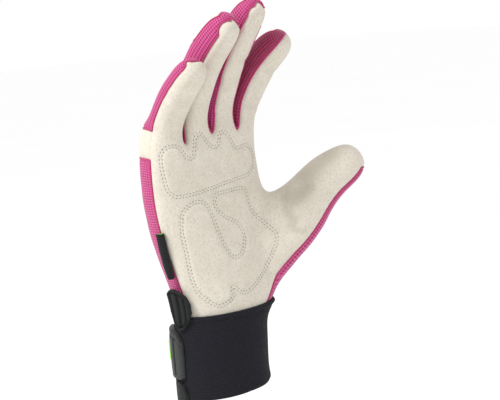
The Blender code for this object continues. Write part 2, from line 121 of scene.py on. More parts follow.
# Sections of a finger and of the thumb, from the base to the tip
FINGER_ROWS = (
    (0.14, 0.92, 0.98, 0.12, 0.0),
    (0.32, 0.96, 0.97, 0.30, 0.0),
    (0.50, 0.96, 0.95, 0.55, 0.0),
    (0.68, 0.94, 0.92, 0.78, 0.0),
    (0.85, 0.90, 0.86, 0.94, 0.0),
    (0.965, 0.70, 0.64, 1.00, 0.0))
THUMB_ROWS = (
    (0.28, 1.42, 1.30, 0.00, 0.14),
    (0.48, 1.11, 1.10, 0.20, 0.045),
    (0.66, 1.05, 0.98, 0.50, -0.03),
    (0.82, 0.93, 0.90, 0.80, 0.00),
    (0.95, 0.68, 0.66, 1.00, 0.00))
FINGER_ROWS, THUMB_ROWS = (
    table("reach width depth bend drop", *rows) for rows in (FINGER_ROWS, THUMB_ROWS))
FINGER_TIP_REACH = 1.02
CORNER_SIDE = 0.80
CORNER_FACE = 0.84
CAP_ROWS = 2
OVERLAP_ROW = 1
RING_POINTS = 8
THUMB_TIP_REACH = 1.01

# Columns of the hand's sections, round from the little-finger side by the palm
FRONT = [f"F{k}" for k in range(9)]
BACK = [f"B{k}" for k in range(8, -1, -1)]
COLUMNS = ["U"] + FRONT + ["R"] + BACK
PALM_COLUMNS = ["U"] + FRONT[:7]
WRIST_ANGLES = dict(zip(COLUMNS, (
    188, 204, 219, 235, 250, 264, 277, 289, 300, 328, 354,
    18, 36, 54, 72, 90, 108, 126, 144, 164)))

# Closure: thickness and edge radius of the plates
CLASP_PLATE = (0.0032, 0.0011)
BADGE_PLATE = (0.0011, 0.0008)
STRAP_PLATE = (0.0016, 0.0006)
TAB_PLATE = (0.0020, 0.0009)

# Outlines: angles round the wrist in degrees, edges as shares of the cuff's height
CLASP = ((106.0, 0.30, 0.72), (111.0, 0.25, 0.79), (146.0, 0.24, 0.85), (166.0, 0.23, 0.84),
         (177.0, 0.23, 0.78), (182.0, 0.26, 0.69))
BADGE = ((117.0, 0.43, 0.65), (121.0, 0.40, 0.68), (147.0, 0.40, 0.68), (151.0, 0.43, 0.65))
STRAP = ((24.0, 0.31, 0.71), (105.0, 0.31, 0.71))
PULL_TAB = ((168.5, 1.17, 1.25), (171.0, 1.07, 1.31), (175.0, 0.93, 1.35), (180.0, 0.845, 1.355),
            (185.0, 0.85, 1.34), (189.0, 0.90, 1.31), (193.0, 0.97, 1.27), (196.0, 1.06, 1.16))
TAIL = ((152.0, -0.07, 0.20), (175.0, -0.08, 0.19), (180.0, -0.08, 0.16), (184.0, -0.08, 0.04))
CLASP, BADGE, STRAP, PULL_TAB, TAIL = (
    table("angle low high", *rows) for rows in (CLASP, BADGE, STRAP, PULL_TAB, TAIL))

# Label in the little-finger seam
LABEL_FOOT = 0.0765
LABEL_LENGTH = 0.0290
LABEL_WIDTH = 0.0054
LABEL_STAND = 0.0049
LABEL_WALL = 0.0008
LABEL_FORWARD = -0.0020
LABEL_FACING = 196.0

# Panels of the hand and what each is made of
FINGER_NAMES = [finger.name for finger in FINGERS]
PANELS = {"palm_panel": "suede", "hand_back_panel": "mesh", "knuckle_strap": "suede"}
PANELS.update({name + "_back": "mesh" for name in FINGER_NAMES})
PANELS.update({name + "_tip_cap": "suede" for name in FINGER_NAMES[1:]})
PANELS.update({name + "_side_strip": "mesh" for name in FINGER_NAMES})
LABELS = ["cuff", "palm_tuck", "back_tuck"] + list(PANELS)
TUCKS = {"palm_panel": "palm_tuck", "hand_back_panel": "back_tuck"}

# Relief of the skins
FORM_LEVEL = 4
SEAM_DIP = 0.00075
SEAM_DIP_WIDTH = 0.0013
RIPPLE_HEIGHT = 0.00035
RIPPLE_SIZE = 0.016
SUEDE_GRAIN_HEIGHT = 0.00006
SUEDE_GRAIN_SIZE = 0.0022
DEEP_RELIEF = 0.0009

# Seam binding between the suede and the mesh
BINDING_RADIUS = 0.00062
BINDING_SMOOTHING = 4
BINDING_STEP = 0.0007
BINDING_SIDES = 8
BINDING_INSET = 0.00035
BINDING_SHORTEST = 0.0028

# Double rows of stitching on the palm pads, as pixels of the photograph
STITCH_PITCH = 0.0023
STITCH_LENGTH = 0.00095
STITCH_RADIUS = 0.00022
ROW_OFFSET = 0.00088
PAD_RISE = 0.00045
PAD_SLOPE = 0.0030
ROW_GROOVE = 0.00022
ROW_GROOVE_WIDTH = 0.00055
PATH_STEP = 0.0004
UPPER_PAD = (
    (160.6, 160), (162.4, 172), (165.5, 184.5), (169, 192), (176, 197), (188.5, 195.5),
    (200.6, 192), (212.7, 187.6), (224.8, 183), (237, 178.5), (248, 174), (252.7, 164),
    (252.7, 154), (250, 148), (245.5, 145), (239.4, 147), (234.5, 147), (229.7, 138.5),
    (224.8, 132), (220, 133.6), (218.8, 142), (215, 147), (209, 144.5), (205.5, 139.7),
    (200.6, 133.6), (195.8, 137), (194.5, 148), (193.3, 156.7), (189.7, 159), (184.8, 155.5),
    (180, 148), (174, 146.4), (166.7, 148), (161.8, 153),
)
LOWER_PAD = (
    (182.4, 215), (188.5, 206.4), (197, 202), (205.5, 204), (211.5, 213.6), (215, 223),
    (220, 235.5), (224.8, 245), (231, 255), (237, 257), (243, 251), (244.8, 239), (240.6, 227),
    (234.5, 221), (224.8, 216), (217.6, 210), (214.5, 201.5), (217.6, 194), (224.8, 192),
    (243, 188), (248, 199), (251.5, 210), (257.6, 217), (268.5, 226), (275.8, 233),
    (276.4, 241.5), (272, 254), (266, 267), (257.6, 281.5), (249, 290.6), (243, 292.4),
    (233, 286.4), (233, 297), (227, 303), (218.8, 306), (208, 301), (198, 292), (192, 279),
    (188.5, 263), (184.8, 245), (181.8, 231),
)

# Creases pressed into the suede, as pixels of the photograph, and how much painted shade each lays on
# the suede beside it
CREASES = table(
    "depth width shade pixels",
    (0.0018, 0.0030, 0.38, ((283, 194), (284, 203), (287, 213), (293, 221))),
    (0.0010, 0.0020, 0.35, ((290, 225), (296, 230), (304, 232))),
    (0.0014, 0.0060, 0.55, ((295, 199), (300, 193), (307, 185))),
    (0.0004, 0.0060, 0.55, ((304, 179), (316, 168), (327, 157))),
    (0.0006, 0.0024, 0.10, ((244, 60), (250, 63), (257, 62))),
    (0.0005, 0.0022, 0.10, ((218, 84), (222, 88), (229, 88))),
    (0.0006, 0.0024, 0.10, ((246, 104), (252, 107), (259, 105))),
    (0.0005, 0.0022, 0.10, ((264, 68), (270, 73), (277, 73))),
    (0.0005, 0.0026, 0.10, ((168, 98), (178, 103), (190, 103))),
    (0.0004, 0.0030, 0.00, ((196, 168), (216, 166), (238, 160))))
CREASE_STEP = 0.0008
SHADE_SPREAD = 1.2

# Paths and sweeps
CURVE_CUTS = 24
PIXEL_STEP = 0.5
OUTLINE_STRIDE = 8
PALM_FACING = 0.25
STITCH_SIDES = 6
STITCH_SHAPE = ((-1.0, 0.35), (-0.6, 0.9), (0.6, 0.9), (1.0, 0.35))
STITCH_LIFT = 0.00004
TANGENT_REACH = 3
BEAD_END = 0.3
BINDING_LIFT = 0.00030
SHARP_ANGLE = 50.0

# Side mesh that the suede comes over from a column's edge, by shares of the column's width at
# the low and high end of a span of cloth heights
CROTCH_TOP = 0.1800
CLOTH_TOP = 1.0
OVERLAPS = table(
    "strip edge side low high low_share high_share",
    ("ring_side_strip", 8, 1, 0.0, CROTCH_TOP, 0.26, 0.56),
    ("little_side_strip", 2, -1, 0.0, CROTCH_TOP, 0.26, 0.56),
    ("ring_side_strip", 8, 1, CROTCH_TOP, CLOTH_TOP, 0.42, 0.42),
    ("middle_side_strip", 8, 1, 0.0, CLOTH_TOP, 0.00, 0.26))

# Round edges of the suede over fingertips, about pixels of the photograph
TIP_SUEDES = table(
    "finger pixel radius",
    ("little", (199.0, 78.5), 0.01075),
    ("ring", (229.8, 32.4), 0.0070),
    ("middle", (258.0, 15.5), 0.0062))
TIP_SUEDE_TURN = 0.35

# Cloth coordinates: the width of one cage column, for weaves at their real size
CLOTH_LAYER = "cloth"
COLUMN_WIDTH = 0.0118
TUBE_COLUMN_WIDTH = 0.0082

# Painted shade in creases and in the trims' dents: the layer that carries it, and the dent depth at
# which it is full
PAINTED_SHADE_LAYER = "groove"
FULL_SHADE_DEPTH = 0.0004

# Cuff relief
CUFF_ROUNDING = 0.0013
CUFF_EDGE_SHARE = 0.55
CUFF_HEM_RISE = 0.00032
CUFF_HEM_WIDTH = 0.0022
CUFF_HEM_LINE = 0.00352
CUFF_FOLD_SIZE = 0.021
CUFF_FOLD_HEIGHT = 0.0007

# Trim relief: distances from a plate's edges
Place = namedtuple("Place", "from_start from_end from_low from_high edge")
PLATE_STEP = 0.00036
EDGE_SHARE = 0.35
CLASP_LIP = 0.0030
CLASP_GROOVE = 0.0040
CLASP_LINE_WIDTH = 0.00042
CLASP_LINE_DEPTH = 0.00090
CLASP_GROOVE_DEPTH = 0.00144
CLASP_SLOT_AT = (0.0066, 0.0052)
CLASP_SLOT_SIZE = (0.0016, 0.0005)
CLASP_SLOT_DEPTH = 0.0016
CLASP_FRAME = 0.0030
CLASP_PANEL_RISE = 0.0002
TAB_BINDING = 0.0017
TAB_BINDING_RISE = 0.00075
TAB_SEAM_AT = 0.001955
TAB_SEAM_WIDTH = 0.00045
TAB_CREASE_AT = 0.45
TAB_CREASE_WIDTH = 0.00072
TAB_CREASE_DEPTH = 0.00105
SELVEDGE = 0.0016
SELVEDGE_DEPTH = 0.00030
TAIL_FOLD = 0.0050
TAIL_STEP = 0.0007
BADGE_BORDER = 0.0012
BADGE_LINE_DEPTH = 0.00028
LABEL_STATIONS = 40
LABEL_SIDES = 36
LABEL_FOOT_WIDTH = 0.55
LABEL_TAPER_SHARE = 0.25
LABEL_RIB = 0.00006
LABEL_RIBS = 12

# Colours, linear
SUEDE_PALE = (0.640, 0.596, 0.515)
SUEDE_SHADE = (0.598, 0.552, 0.470)
SUEDE_NAP = (0.370, 0.332, 0.270)
SUEDE_WARM = (0.500, 0.448, 0.360)
# Painted shade in the suede's creases and over the thumb's foot
SUEDE_PAINTED_SHADE = (0.360, 0.325, 0.262)
MESH_DARK = (0.150, 0.004, 0.034)
MESH_PINK = (0.455, 0.030, 0.165)
MESH_BRIGHT = (0.560, 0.105, 0.300)
# Darker copy of the mesh colours: painted shadow on the index finger's side strip
MESH_PAINTED_SHADOW_TONES = ((0.110, 0.003, 0.018), (0.300, 0.018, 0.078), (0.380, 0.050, 0.145))
BINDING_PINK = (0.470, 0.020, 0.135)
BINDING_DARK = (0.370, 0.012, 0.100)
KNIT_BLACK = (0.0165, 0.0160, 0.0215)
KNIT_DEEP = (0.0045, 0.0045, 0.0062)
KNIT_FUZZ = (0.0340, 0.0335, 0.0430)
WEBBING_BLACK = (0.0185, 0.0195, 0.0195)
# Deep colour of the weave, and the painted shade in the tape's dents
WEBBING_DEEP_AND_SHADE = (0.0030, 0.0033, 0.0035)
RUBBER_GREY = (0.0220, 0.0232, 0.0232)
RUBBER_WORN = (0.0310, 0.0322, 0.0322)
# Painted shade in the clasp's lip, groove and slot
RUBBER_PAINTED_SHADE = (0.0025, 0.0027, 0.0028)
LIME = (0.280, 0.720, 0.030)
LIME_DEEP = (0.200, 0.560, 0.020)
THREAD_GREY = (0.170, 0.170, 0.195)
THREAD_DARK = (0.080, 0.080, 0.095)
FLOOR_WHITE = (0.99, 0.99, 0.99)
FLOOR_SHADE = (0.98, 0.98, 0.98)

# Surfaces: roughness, sheen, sheen roughness, specular level
SUEDE_SURFACE = (0.94, 0.12, 0.45, 0.2)
MESH_SURFACE = (0.72, 0.28, 0.35)
BINDING_SURFACE = (0.62, 0.25, 0.4)
KNIT_SURFACE = (0.90, 0.02, 0.35, 0.15)
WEBBING_SURFACE = (0.82, 0.03, 0.35, 0.25)
RUBBER_SURFACE = (0.55, 0.0, 0.5, 0.35)
ACCENT_SURFACE = (0.45,)
THREAD_SURFACE = (0.70, 0.15, 0.4)
FLOOR_ROUGHNESS = 0.9

# Weaves: pitches in millimetres, levels as the low and high end of a spread
MESH_SLANT = 0.80
MESH_PITCH = 3.2
MESH_WOBBLE = 0.9
MESH_RIB = 0.12
MESH_LEVELS = (-0.75, 0.85)
MESH_HOLES = (0.0, 0.45)
MESH_THREADS = (0.55, 1.0)
BINDING_SLANT = 0.6
BINDING_PITCH = 1.05
KNIT_COLUMN = 1.5
KNIT_ROW = 1.25
KNIT_LOOP = 0.35
KNIT_ROW_SHARE = 0.6
KNIT_COLUMN_SHARE = 0.7
KNIT_LEVELS = (-0.6, 1.2)
WEBBING_PITCH = 1.1
WEBBING_CROSS = 0.6
WEBBING_LEVELS = (-0.6, 1.0)
SUEDE_ROUGHNESS = (0.3, 0.7, 0.86, 0.99)
RUBBER_ROUGHNESS = (0.0, 1.0, 0.50, 0.66)

# Noises: size in metres, the levels that count as none and all, and the share at all
NOISES = {row.name: row for row in table(
    "name size detail roughness low high share",
    ("suede_clouds", 0.0085, 3.0, 0.6, 0.36, 0.66, 1.0),
    ("suede_nap", 0.0011, 3.0, 0.7, 0.48, 0.70, 0.55),
    ("suede_grain", 0.00042, 2.0, 0.6, 0.0, 1.0, 1.0),
    ("suede_dust", 0.022, 2.0, 0.5, 0.52, 0.80, 0.22),
    ("mesh_wobble", 0.006, 2.0, 0.5, 0.0, 1.0, 1.0),
    ("mesh_clouds", 0.010, 2.0, 0.5, 0.40, 0.75, 0.28),
    ("knit_fuzz", 0.0009, 2.0, 0.5, 0.58, 0.80, 0.45),
    ("webbing_fuzz", 0.0006, 2.0, 0.5, 0.0, 1.0, 1.0),
    ("rubber_grain", 0.00045, 3.0, 0.6, 0.0, 1.0, 1.0),
    ("rubber_wear", 0.007, 3.0, 0.5, 0.42, 0.72, 1.0),
    ("accent", 0.0005, 2.0, 0.5, 0.30, 0.70, 1.0),
    ("thread", 0.0004, 2.0, 0.5, 0.35, 0.65, 1.0),
    ("floor", 0.4, 2.0, 0.5, 0.30, 0.70, 1.0))}

# Bumps: rise in metres and strength
BUMPS = {
    "suede_nap": (0.00016, 0.50), "suede_grain": (0.00008, 0.55), "mesh": (0.00028, 0.75),
    "binding": (0.00018, 0.80), "knit": (0.00030, 0.85), "knit_fuzz": (0.00010, 0.40),
    "webbing": (0.00022, 0.75), "webbing_fuzz": (0.00008, 0.40), "rubber": (0.00006, 0.50),
    "accent": (0.00005, 0.40), "thread": (0.00006, 0.60),
}

# Stage and lights: places across, up and towards the camera from its aim
FLOOR_HALF = 12.0
FLOOR_HEIGHT = -0.30
FLOOR_CELLS = 8
CAMERA_CLIP = (0.01, 50.0)
WORLD_LEVEL = 1.0
LAMPS = table(
    "name across upward towards size power",
    ("key", -0.96, 0.87, 0.71, 0.32, 15.6),
    ("fill", 0.95, 0.30, 0.90, 0.70, 1.0))


# The form: hand sections, fingers and thumb

def add_object(name, data):
    made = bpy.data.objects.new(name, data)
    bpy.context.scene.collection.objects.link(made)
    return made


def knuckle_width():
    return sum(finger.width for finger in FINGERS)


def knuckle_places():
    """Share of the half width at which each front or back column stands at the knuckles."""
    half = knuckle_width() / 2
    places = {}
    edge = -half
    for k, finger in enumerate(FINGERS):
        places[2 * k] = edge / half
        places[2 * k + 1] = (edge + finger.width / 2) / half
        edge += finger.width
    places[0] = -CORNER_PLACE_SHARE
    places[2 * len(FINGERS)] = CORNER_PLACE_SHARE
    return places


def row_height(row, column):
    if row.base == "cuff":
        level = row.height * CUFF_HEIGHT
        if row.name == "mouth":
            level += MOUTH_RISE * math.cos(math.radians(WRIST_ANGLES[column]))
        return level
    level = CUFF_HEIGHT + row.height * PALM_RISE
    if row.name == "knuckle":
        share = STRAP_CORNER_SHARE if column in ("F0", "F8") else float(column not in FRONT)
        level += share * STRAP_RISE
    if row.name == "crotch":
        level += CROTCH_RISE[column] * STRAP_HEIGHT
    return level


def hand_point(row, column):
    half_width = row.width * knuckle_width() / 2 * CAGE_GROWTH
    half_depth = row.depth * PALM_DEPTH / 2 * CAGE_GROWTH
    centre = Vector((row.centre_x * knuckle_width(), row.centre_y * PALM_DEPTH, 0.0))
    angle = math.radians(WRIST_ANGLES[column])
    across = math.cos(angle)
    if column in ("U", "R"):
        side = -1.0 if column == "U" else 1.0
        forward = -SEAM_FORWARD / half_depth if row.base == "palm" else math.sin(angle)
        across = side * (1 - abs(forward) ** row.squareness) ** (1 / row.squareness)
    else:
        place = knuckle_places()[int(column[1])]
        across = (1 - row.spread) * across + row.spread * place
        fullness = (1 - abs(across) ** row.squareness) ** (1 / row.squareness)
        forward = -fullness if column[0] == "F" else fullness
    return centre + Vector((across * half_width, forward * half_depth, row_height(row, column)))


def patch(column, width, low, high):
    """Cloth coordinates of a quad in a column, between two heights."""
    start, end = column * width, (column + 1) * width
    return [(start, low), (end, low), (end, high), (start, high)]


def hand_cage(points, faces):
    for row in HAND_ROWS:
        for column in COLUMNS:
            points[row.name, column] = hand_point(row, column)
    crotch = HAND_ROWS[-1].name
    for k in range(2, 2 * len(FINGERS), 2):
        middle = (points[crotch, f"F{k}"] + points[crotch, f"B{k}"]) / 2
        middle.z = CUFF_HEIGHT + PALM_RISE + CROTCH_RISE[f"M{k}"] * STRAP_HEIGHT
        points[crotch, f"M{k}"] = middle
    around = list(zip(COLUMNS, COLUMNS[1:] + COLUMNS[:1]))
    names = [row.name for row in HAND_ROWS]
    for low, high in zip(names, names[1:]):
        for number, (left, right) in enumerate(around):
            if low in ("thumb_foot", "thumb_middle") and left in ("F7", "F8"):
                continue
            quad = [(low, left), (low, right), (high, right), (high, left)]
            cloth = patch(number, COLUMN_WIDTH, points[low, left].z, points[high, left].z)
            faces.append((quad, hand_label(low, left), cloth))


def hand_label(low, left):
    if low in ("mouth", "cuff_middle"):
        return "cuff"
    if low == "tuck":
        return "palm_tuck" if left in PALM_COLUMNS else "back_tuck"
    if left in PALM_COLUMNS:
        return "palm_panel"
    if left in ("F7", "F8"):
        return "hand_back_panel" if low == "hem" else "palm_panel"
    return "knuckle_strap" if low == "knuckle" else "hand_back_panel"


def tube_cage(points, faces, name, below, rows, size, tip_reach, aim, offsets, label):
    """A tube from a base ring to a closed tip; aim gives the way to a section and its axes."""
    width, depth, length = size
    centre = sum((points[key] for key in below), Vector()) / RING_POINTS
    foot = low = centre.z
    before = None
    for number, row in enumerate(rows):
        way, direction, side, palm = aim(row, before.bend if before else 0.0)
        centre = centre + way * (row.reach - (before.reach if before else 0.0)) * length
        middle = centre + side * row.drop * width
        half_side = side * (row.width * width * FINGER_GROWTH / 2)
        half_palm = palm * (row.depth * depth * FINGER_GROWTH / 2)
        ring = [(name, number, k) for k in range(RING_POINTS)]
        for key, (across, forward) in zip(ring, offsets):
            points[key] = middle + half_side * across + half_palm * forward
        high = foot + row.reach * length
        for k in range(RING_POINTS):
            n = (k + 1) % RING_POINTS
            cloth = patch(k, TUBE_COLUMN_WIDTH, low, high)
            faces.append(([below[k], below[n], ring[n], ring[k]], label(k, number), cloth))
        below, low, before = ring, high, row
    points[name, "tip"] = centre + direction * (tip_reach - before.reach) * length
    high = low + TUBE_COLUMN_WIDTH
    for k in range(0, RING_POINTS, 2):
        quad = [below[k], below[k + 1], below[(k + 2) % RING_POINTS], (name, "tip")]
        start = k * TUBE_COLUMN_WIDTH
        middle, end = start + TUBE_COLUMN_WIDTH, start + 2 * TUBE_COLUMN_WIDTH
        faces.append((quad, label(k, "tip"), [(start, low), (middle, low), (end, low), (middle, high)]))


def finger_label(finger, last):
    sides = {"little": ((0, 1, 7), (2, 3)), "index": ((0, 1, 2), (6, 7))}
    palm, strip = sides.get(finger, ((0, 1), (2, 3, 6, 7)))
    palm_tips = {"little": (0, 2, 6), "index": (0, 2)}.get(finger, (0,))

    def label(column, number):
        if number == "tip":
            side = "little_back" if finger == "little" else f"{finger}_side_strip"
            return "palm_panel" if column in palm_tips else side
        if (finger, column) == ("little", 2) and number > 0:
            return "palm_panel"
        if (finger, column, number) == ("ring", 7, OVERLAP_ROW):
            return "palm_panel"
        if column in strip:
            return f"{finger}_side_strip"
        if column in palm:
            return "palm_panel"
        capped = finger != "little" and column in (4, 5) and number > last - CAP_ROWS
        return f"{finger}_tip_cap" if capped else f"{finger}_back"

    return label


def along(lean, bend):
    """Direction of a finger bent towards the palm by an angle in degrees."""
    angle = math.radians(bend)
    return lean @ Vector((0, -math.sin(angle), math.cos(angle)))


def finger_cage(points, faces, number, finger):
    low = 2 * number
    left = "U" if number == 0 else f"M{low}"
    right = "R" if number == len(FINGERS) - 1 else f"M{low + 2}"
    names = [f"F{low}", f"F{low + 1}", f"F{low + 2}", right, f"B{low + 2}", f"B{low + 1}",
             f"B{low}", left]
    base = [(HAND_ROWS[-1].name, column) for column in names]
    lean = Matrix.Rotation(math.radians(finger.lean), 3, "Y")
    offsets = [(-CORNER_SIDE, CORNER_FACE), (0, 1), (CORNER_SIDE, CORNER_FACE), (1, 0),
               (CORNER_SIDE, -CORNER_FACE), (0, -1), (-CORNER_SIDE, -CORNER_FACE), (-1, 0)]

    def aim(row, bend):
        direction = along(lean, finger.bend + finger.curl * row.bend)
        turn = Matrix.Rotation(math.radians(finger.turn), 3, direction)
        side = turn @ (lean @ Vector((1, 0, 0)))
        way = along(lean, finger.bend + finger.curl * (bend + row.bend) / 2)
        return way, direction, side, side.cross(direction)

    tube_cage(points, faces, finger.name, base, FINGER_ROWS,
              (finger.width, finger.depth, finger.length), FINGER_TIP_REACH, aim, offsets,
              finger_label(finger.name, len(FINGER_ROWS) - 1))


def thumb_label(column, number):
    if number == "tip" or column in (3, 4, 5, 6):
        return "palm_panel"
    return "hand_back_panel"


def thumb_cage(points, faces):
    foot, middle, top = "thumb_foot", "thumb_middle", "thumb_top"
    base = [(foot, "F8"), (foot, "R"), (middle, "R"), (top, "R"),
            (top, "F8"), (top, "F7"), (middle, "F7"), (foot, "F7")]
    swing = math.radians(THUMB_SWING)
    outward = Vector((math.cos(swing), -math.sin(swing), 0))
    across = Vector((-math.sin(swing), -math.cos(swing), 0))
    angles = [math.radians(THUMB_SEAM_ANGLE - (k + 1) * 360 / RING_POINTS)
              for k in range(RING_POINTS)]
    offsets = [(math.cos(angle), math.sin(angle)) for angle in angles]

    def aim(row, _):
        lean = math.radians(THUMB_LEAN + THUMB_CURL * row.bend)
        direction = outward * math.sin(lean) + Vector((0, 0, math.cos(lean)))
        under = outward * math.cos(lean) - Vector((0, 0, math.sin(lean)))
        return direction, direction, under, across

    tube_cage(points, faces, "thumb", base, THUMB_ROWS, THUMB_SIZE, THUMB_TIP_REACH, aim, offsets,
              thumb_label)


Form = namedtuple("Form", "places normals quads marks cloth")


def read(items, name, width, kind=float):
    """One property of all the items, as rows of an array."""
    values = np.empty(len(items) * width, dtype=kind)
    items.foreach_get(name, values)
    return values.reshape(-1, width)


def make_form(level):
    """The whole hand as one smooth surface, with its seams' labels and cloth coordinates."""
    points = {}
    faces = []
    hand_cage(points, faces)
    for number, finger in enumerate(FINGERS):
        finger_cage(points, faces, number, finger)
    thumb_cage(points, faces)
    used = {key for quad, _, _ in faces for key in quad}
    order = {key: index for index, key in enumerate(key for key in points if key in used)}
    mesh = bpy.data.meshes.new("form")
    mesh.from_pydata([tuple(points[key]) for key in order], [],
                     [[order[key] for key in quad] for quad, _, _ in faces])
    for _ in LABELS:
        mesh.materials.append(None)
    mesh.polygons.foreach_set("material_index", [LABELS.index(label) for _, label, _ in faces])
    layer = mesh.uv_layers.new(name=CLOTH_LAYER)
    layer.data.foreach_set("uv", [value for _, _, cloth in faces for pair in cloth for value in pair])
    cage = add_object("form", mesh)
    smooth = cage.modifiers.new("smooth", "SUBSURF")
    smooth.levels = level
    smooth.render_levels = level
    surface = bpy.data.meshes.new_from_object(
        cage.evaluated_get(bpy.context.evaluated_depsgraph_get()))
    bpy.data.objects.remove(cage, do_unlink=True)
    form = Form(read(surface.vertices, "co", 3), read(surface.vertex_normals, "vector", 3),
                read(surface.polygons, "vertices", 4, np.int64),
                read(surface.polygons, "material_index", 1, np.int64).ravel(),
                read(surface.uv_layers[0].data, "uv", 2).reshape(-1, 4, 2))
    bpy.data.meshes.remove(surface)
    bpy.data.meshes.remove(mesh)
    return form


# Camera rays: what a pixel of the photograph lands on

def camera_frame():
    azimuth, elevation, roll = (math.radians(v) for v in
                                (CAMERA_AZIMUTH, CAMERA_ELEVATION, CAMERA_ROLL))
    back = Vector((math.sin(azimuth) * math.cos(elevation),
                   -math.cos(azimuth) * math.cos(elevation), math.sin(elevation)))
    right = Vector((math.cos(azimuth), math.sin(azimuth), 0))
    up = back.cross(right)
    x_axis = right * math.cos(roll) - up * math.sin(roll)
    y_axis = right * math.sin(roll) + up * math.cos(roll)
    return x_axis, y_axis, back


def pixel_ray(pixel):
    x_axis, y_axis, back = camera_frame()
    scale = SENSOR_WIDTH / FOCAL_LENGTH / PHOTO_SIZE[0]
    across = (pixel[0] - PHOTO_SIZE[0] / 2) * scale
    upward = (PHOTO_SIZE[1] / 2 - pixel[1]) * scale
    start = CAMERA_AIM + back * CAMERA_DISTANCE
    return start, (x_axis * across + y_axis * upward - back).normalized()


def smooth_path(points, closed, step):
    """A smooth curve through the points, cut to an even step."""
    points = [Vector(p) for p in points]
    count = len(points)
    spans = count if closed else count - 1
    dense = []
    for k in range(spans):
        if closed:
            a, b, c, d = (points[(k + j) % count] for j in (-1, 0, 1, 2))
        else:
            a, b, c, d = (points[min(max(k + j, 0), count - 1)] for j in (-1, 0, 1, 2))
        for j in range(CURVE_CUTS):
            t = j / CURVE_CUTS
            dense.append(0.5 * (2 * b + (c - a) * t + (2 * a - 5 * b + 4 * c - d) * t * t
                                + (3 * b - a - 3 * c + d) * t ** 3))
    dense.append(points[0] if closed else points[-1])
    return even_path(dense, step)


def even_path(points, step):
    """The path's points at even lengths."""
    places = np.array(points)
    spans = np.linalg.norm(np.diff(places, axis=0), axis=1)
    lengths = np.concatenate([[0.0], np.cumsum(spans)])
    goals = np.linspace(0.0, lengths[-1], max(2, round(lengths[-1] / step)) + 1)
    return [Vector(place) for place in zip(*(np.interp(goals, lengths, axis) for axis in places.T))]


def path_on(tree, pixels, closed, step):
    """A pixel path of the photograph laid on the surface that it shows."""
    landed = []
    for pixel in smooth_path([(x, y, 0) for x, y in pixels], closed, PIXEL_STEP):
        hit = tree.ray_cast(*pixel_ray(pixel))[0]
        if hit is not None:
            landed.append(hit)
    return even_path(landed, step)


# Skins: smooth walls over the form, with their relief

def skin_group(label):
    """The skin that a label's faces belong to on the outside."""
    return next((panel for panel, tuck in TUCKS.items() if label == tuck), label)


def edge_sides(quads):
    """Each edge's two ends and the faces on its two sides, -1 where there is none."""
    starts = quads.ravel()
    ends = np.roll(quads, -1, axis=1).ravel()
    low, high = np.minimum(starts, ends), np.maximum(starts, ends)
    owner = np.repeat(np.arange(len(quads)), 4)
    code = low * (quads.max() + 1) + high
    order = np.argsort(code, kind="stable")
    code, owner, low, high = code[order], owner[order], low[order], high[order]
    first = np.flatnonzero(np.r_[True, code[1:] != code[:-1]])
    second = first + 1
    paired = np.zeros(len(first), dtype=bool)
    paired[:-1] = second[:-1] < first[1:]
    paired[-1] = second[-1] < len(code)
    other = np.where(paired, owner[np.minimum(second, len(code) - 1)], -1)
    return np.stack([low[first], high[first]], axis=1), np.stack([owner[first], other], axis=1)


def seam_edges(form, name_of):
    """Edges between faces whose names differ, with the two names."""
    edges, sides = edge_sides(form.quads)
    names = np.array([name_of(label) for label in LABELS])[form.marks]
    both = sides[:, 1] >= 0
    edges, sides = edges[both], sides[both]
    apart = names[sides[:, 0]] != names[sides[:, 1]]
    return edges[apart], sides[apart], names


def point_tree(points):
    tree = KDTree(len(points))
    for index, point in enumerate(points):
        tree.insert(point, index)
    tree.balance()
    return tree


def distances(targets, points):
    """How far each point is from the nearest target."""
    tree = point_tree(targets)
    return np.array([tree.find(point)[2] for point in points])


def ripples(points, size):
    return np.array([noise.noise(Vector(point) / size) for point in points])


def bell(distance, width):
    return np.exp(-(distance / width) ** 2)


def inside_outline(points, outline):
    """Which points lie inside a closed outline, both seen along the Y axis."""
    x, z = points[:, 0][:, None], points[:, 2][:, None]
    a = np.array([(p.x, p.z) for p in outline])
    b = np.roll(a, -1, axis=0)
    crosses = (a[:, 1] > z) != (b[:, 1] > z)
    rise = np.where(b[:, 1] == a[:, 1], 1.0, b[:, 1] - a[:, 1])
    at = a[:, 0] + (z - a[:, 1]) / rise * (b[:, 0] - a[:, 0])
    return (crosses & (x < at)).sum(axis=1) % 2 == 1


def surface_tree(places, form):
    return BVHTree.FromPolygons(places.tolist(), form.quads.tolist())


def widen_suede(form):
    """Brings the suede over the edges of the side mesh and rounds it over the fingertips."""
    suede = LABELS.index("palm_panel")
    middle = form.cloth.mean(axis=1)
    column = middle[:, 0] / TUBE_COLUMN_WIDTH
    height = middle[:, 1]
    for row in OVERLAPS:
        near = (form.marks == LABELS.index(row.strip)) & (np.abs(column - row.edge) < 1)
        near &= (height > row.low) & (height < row.high)
        bottom, top = height[near].min(), height[near].max()
        share = row.low_share + (row.high_share - row.low_share) * (height - bottom) / (top - bottom)
        form.marks[near & ((column - row.edge) * row.side > -share)] = suede
    centres = form.places[form.quads].mean(axis=1)
    facings = form.normals[form.quads].mean(axis=1)
    for row in TIP_SUEDES:
        start, way = (np.array(part) for part in pixel_ray(row.pixel))
        reach = centres - start
        away = np.linalg.norm(reach - np.outer(reach @ way, way), axis=1)
        parts = [LABELS.index(row.finger + part) for part in ("_back", "_side_strip")]
        near = np.isin(form.marks, parts) & (away < row.radius) & (facings @ way < TIP_SUEDE_TURN)
        form.marks[near] = suede


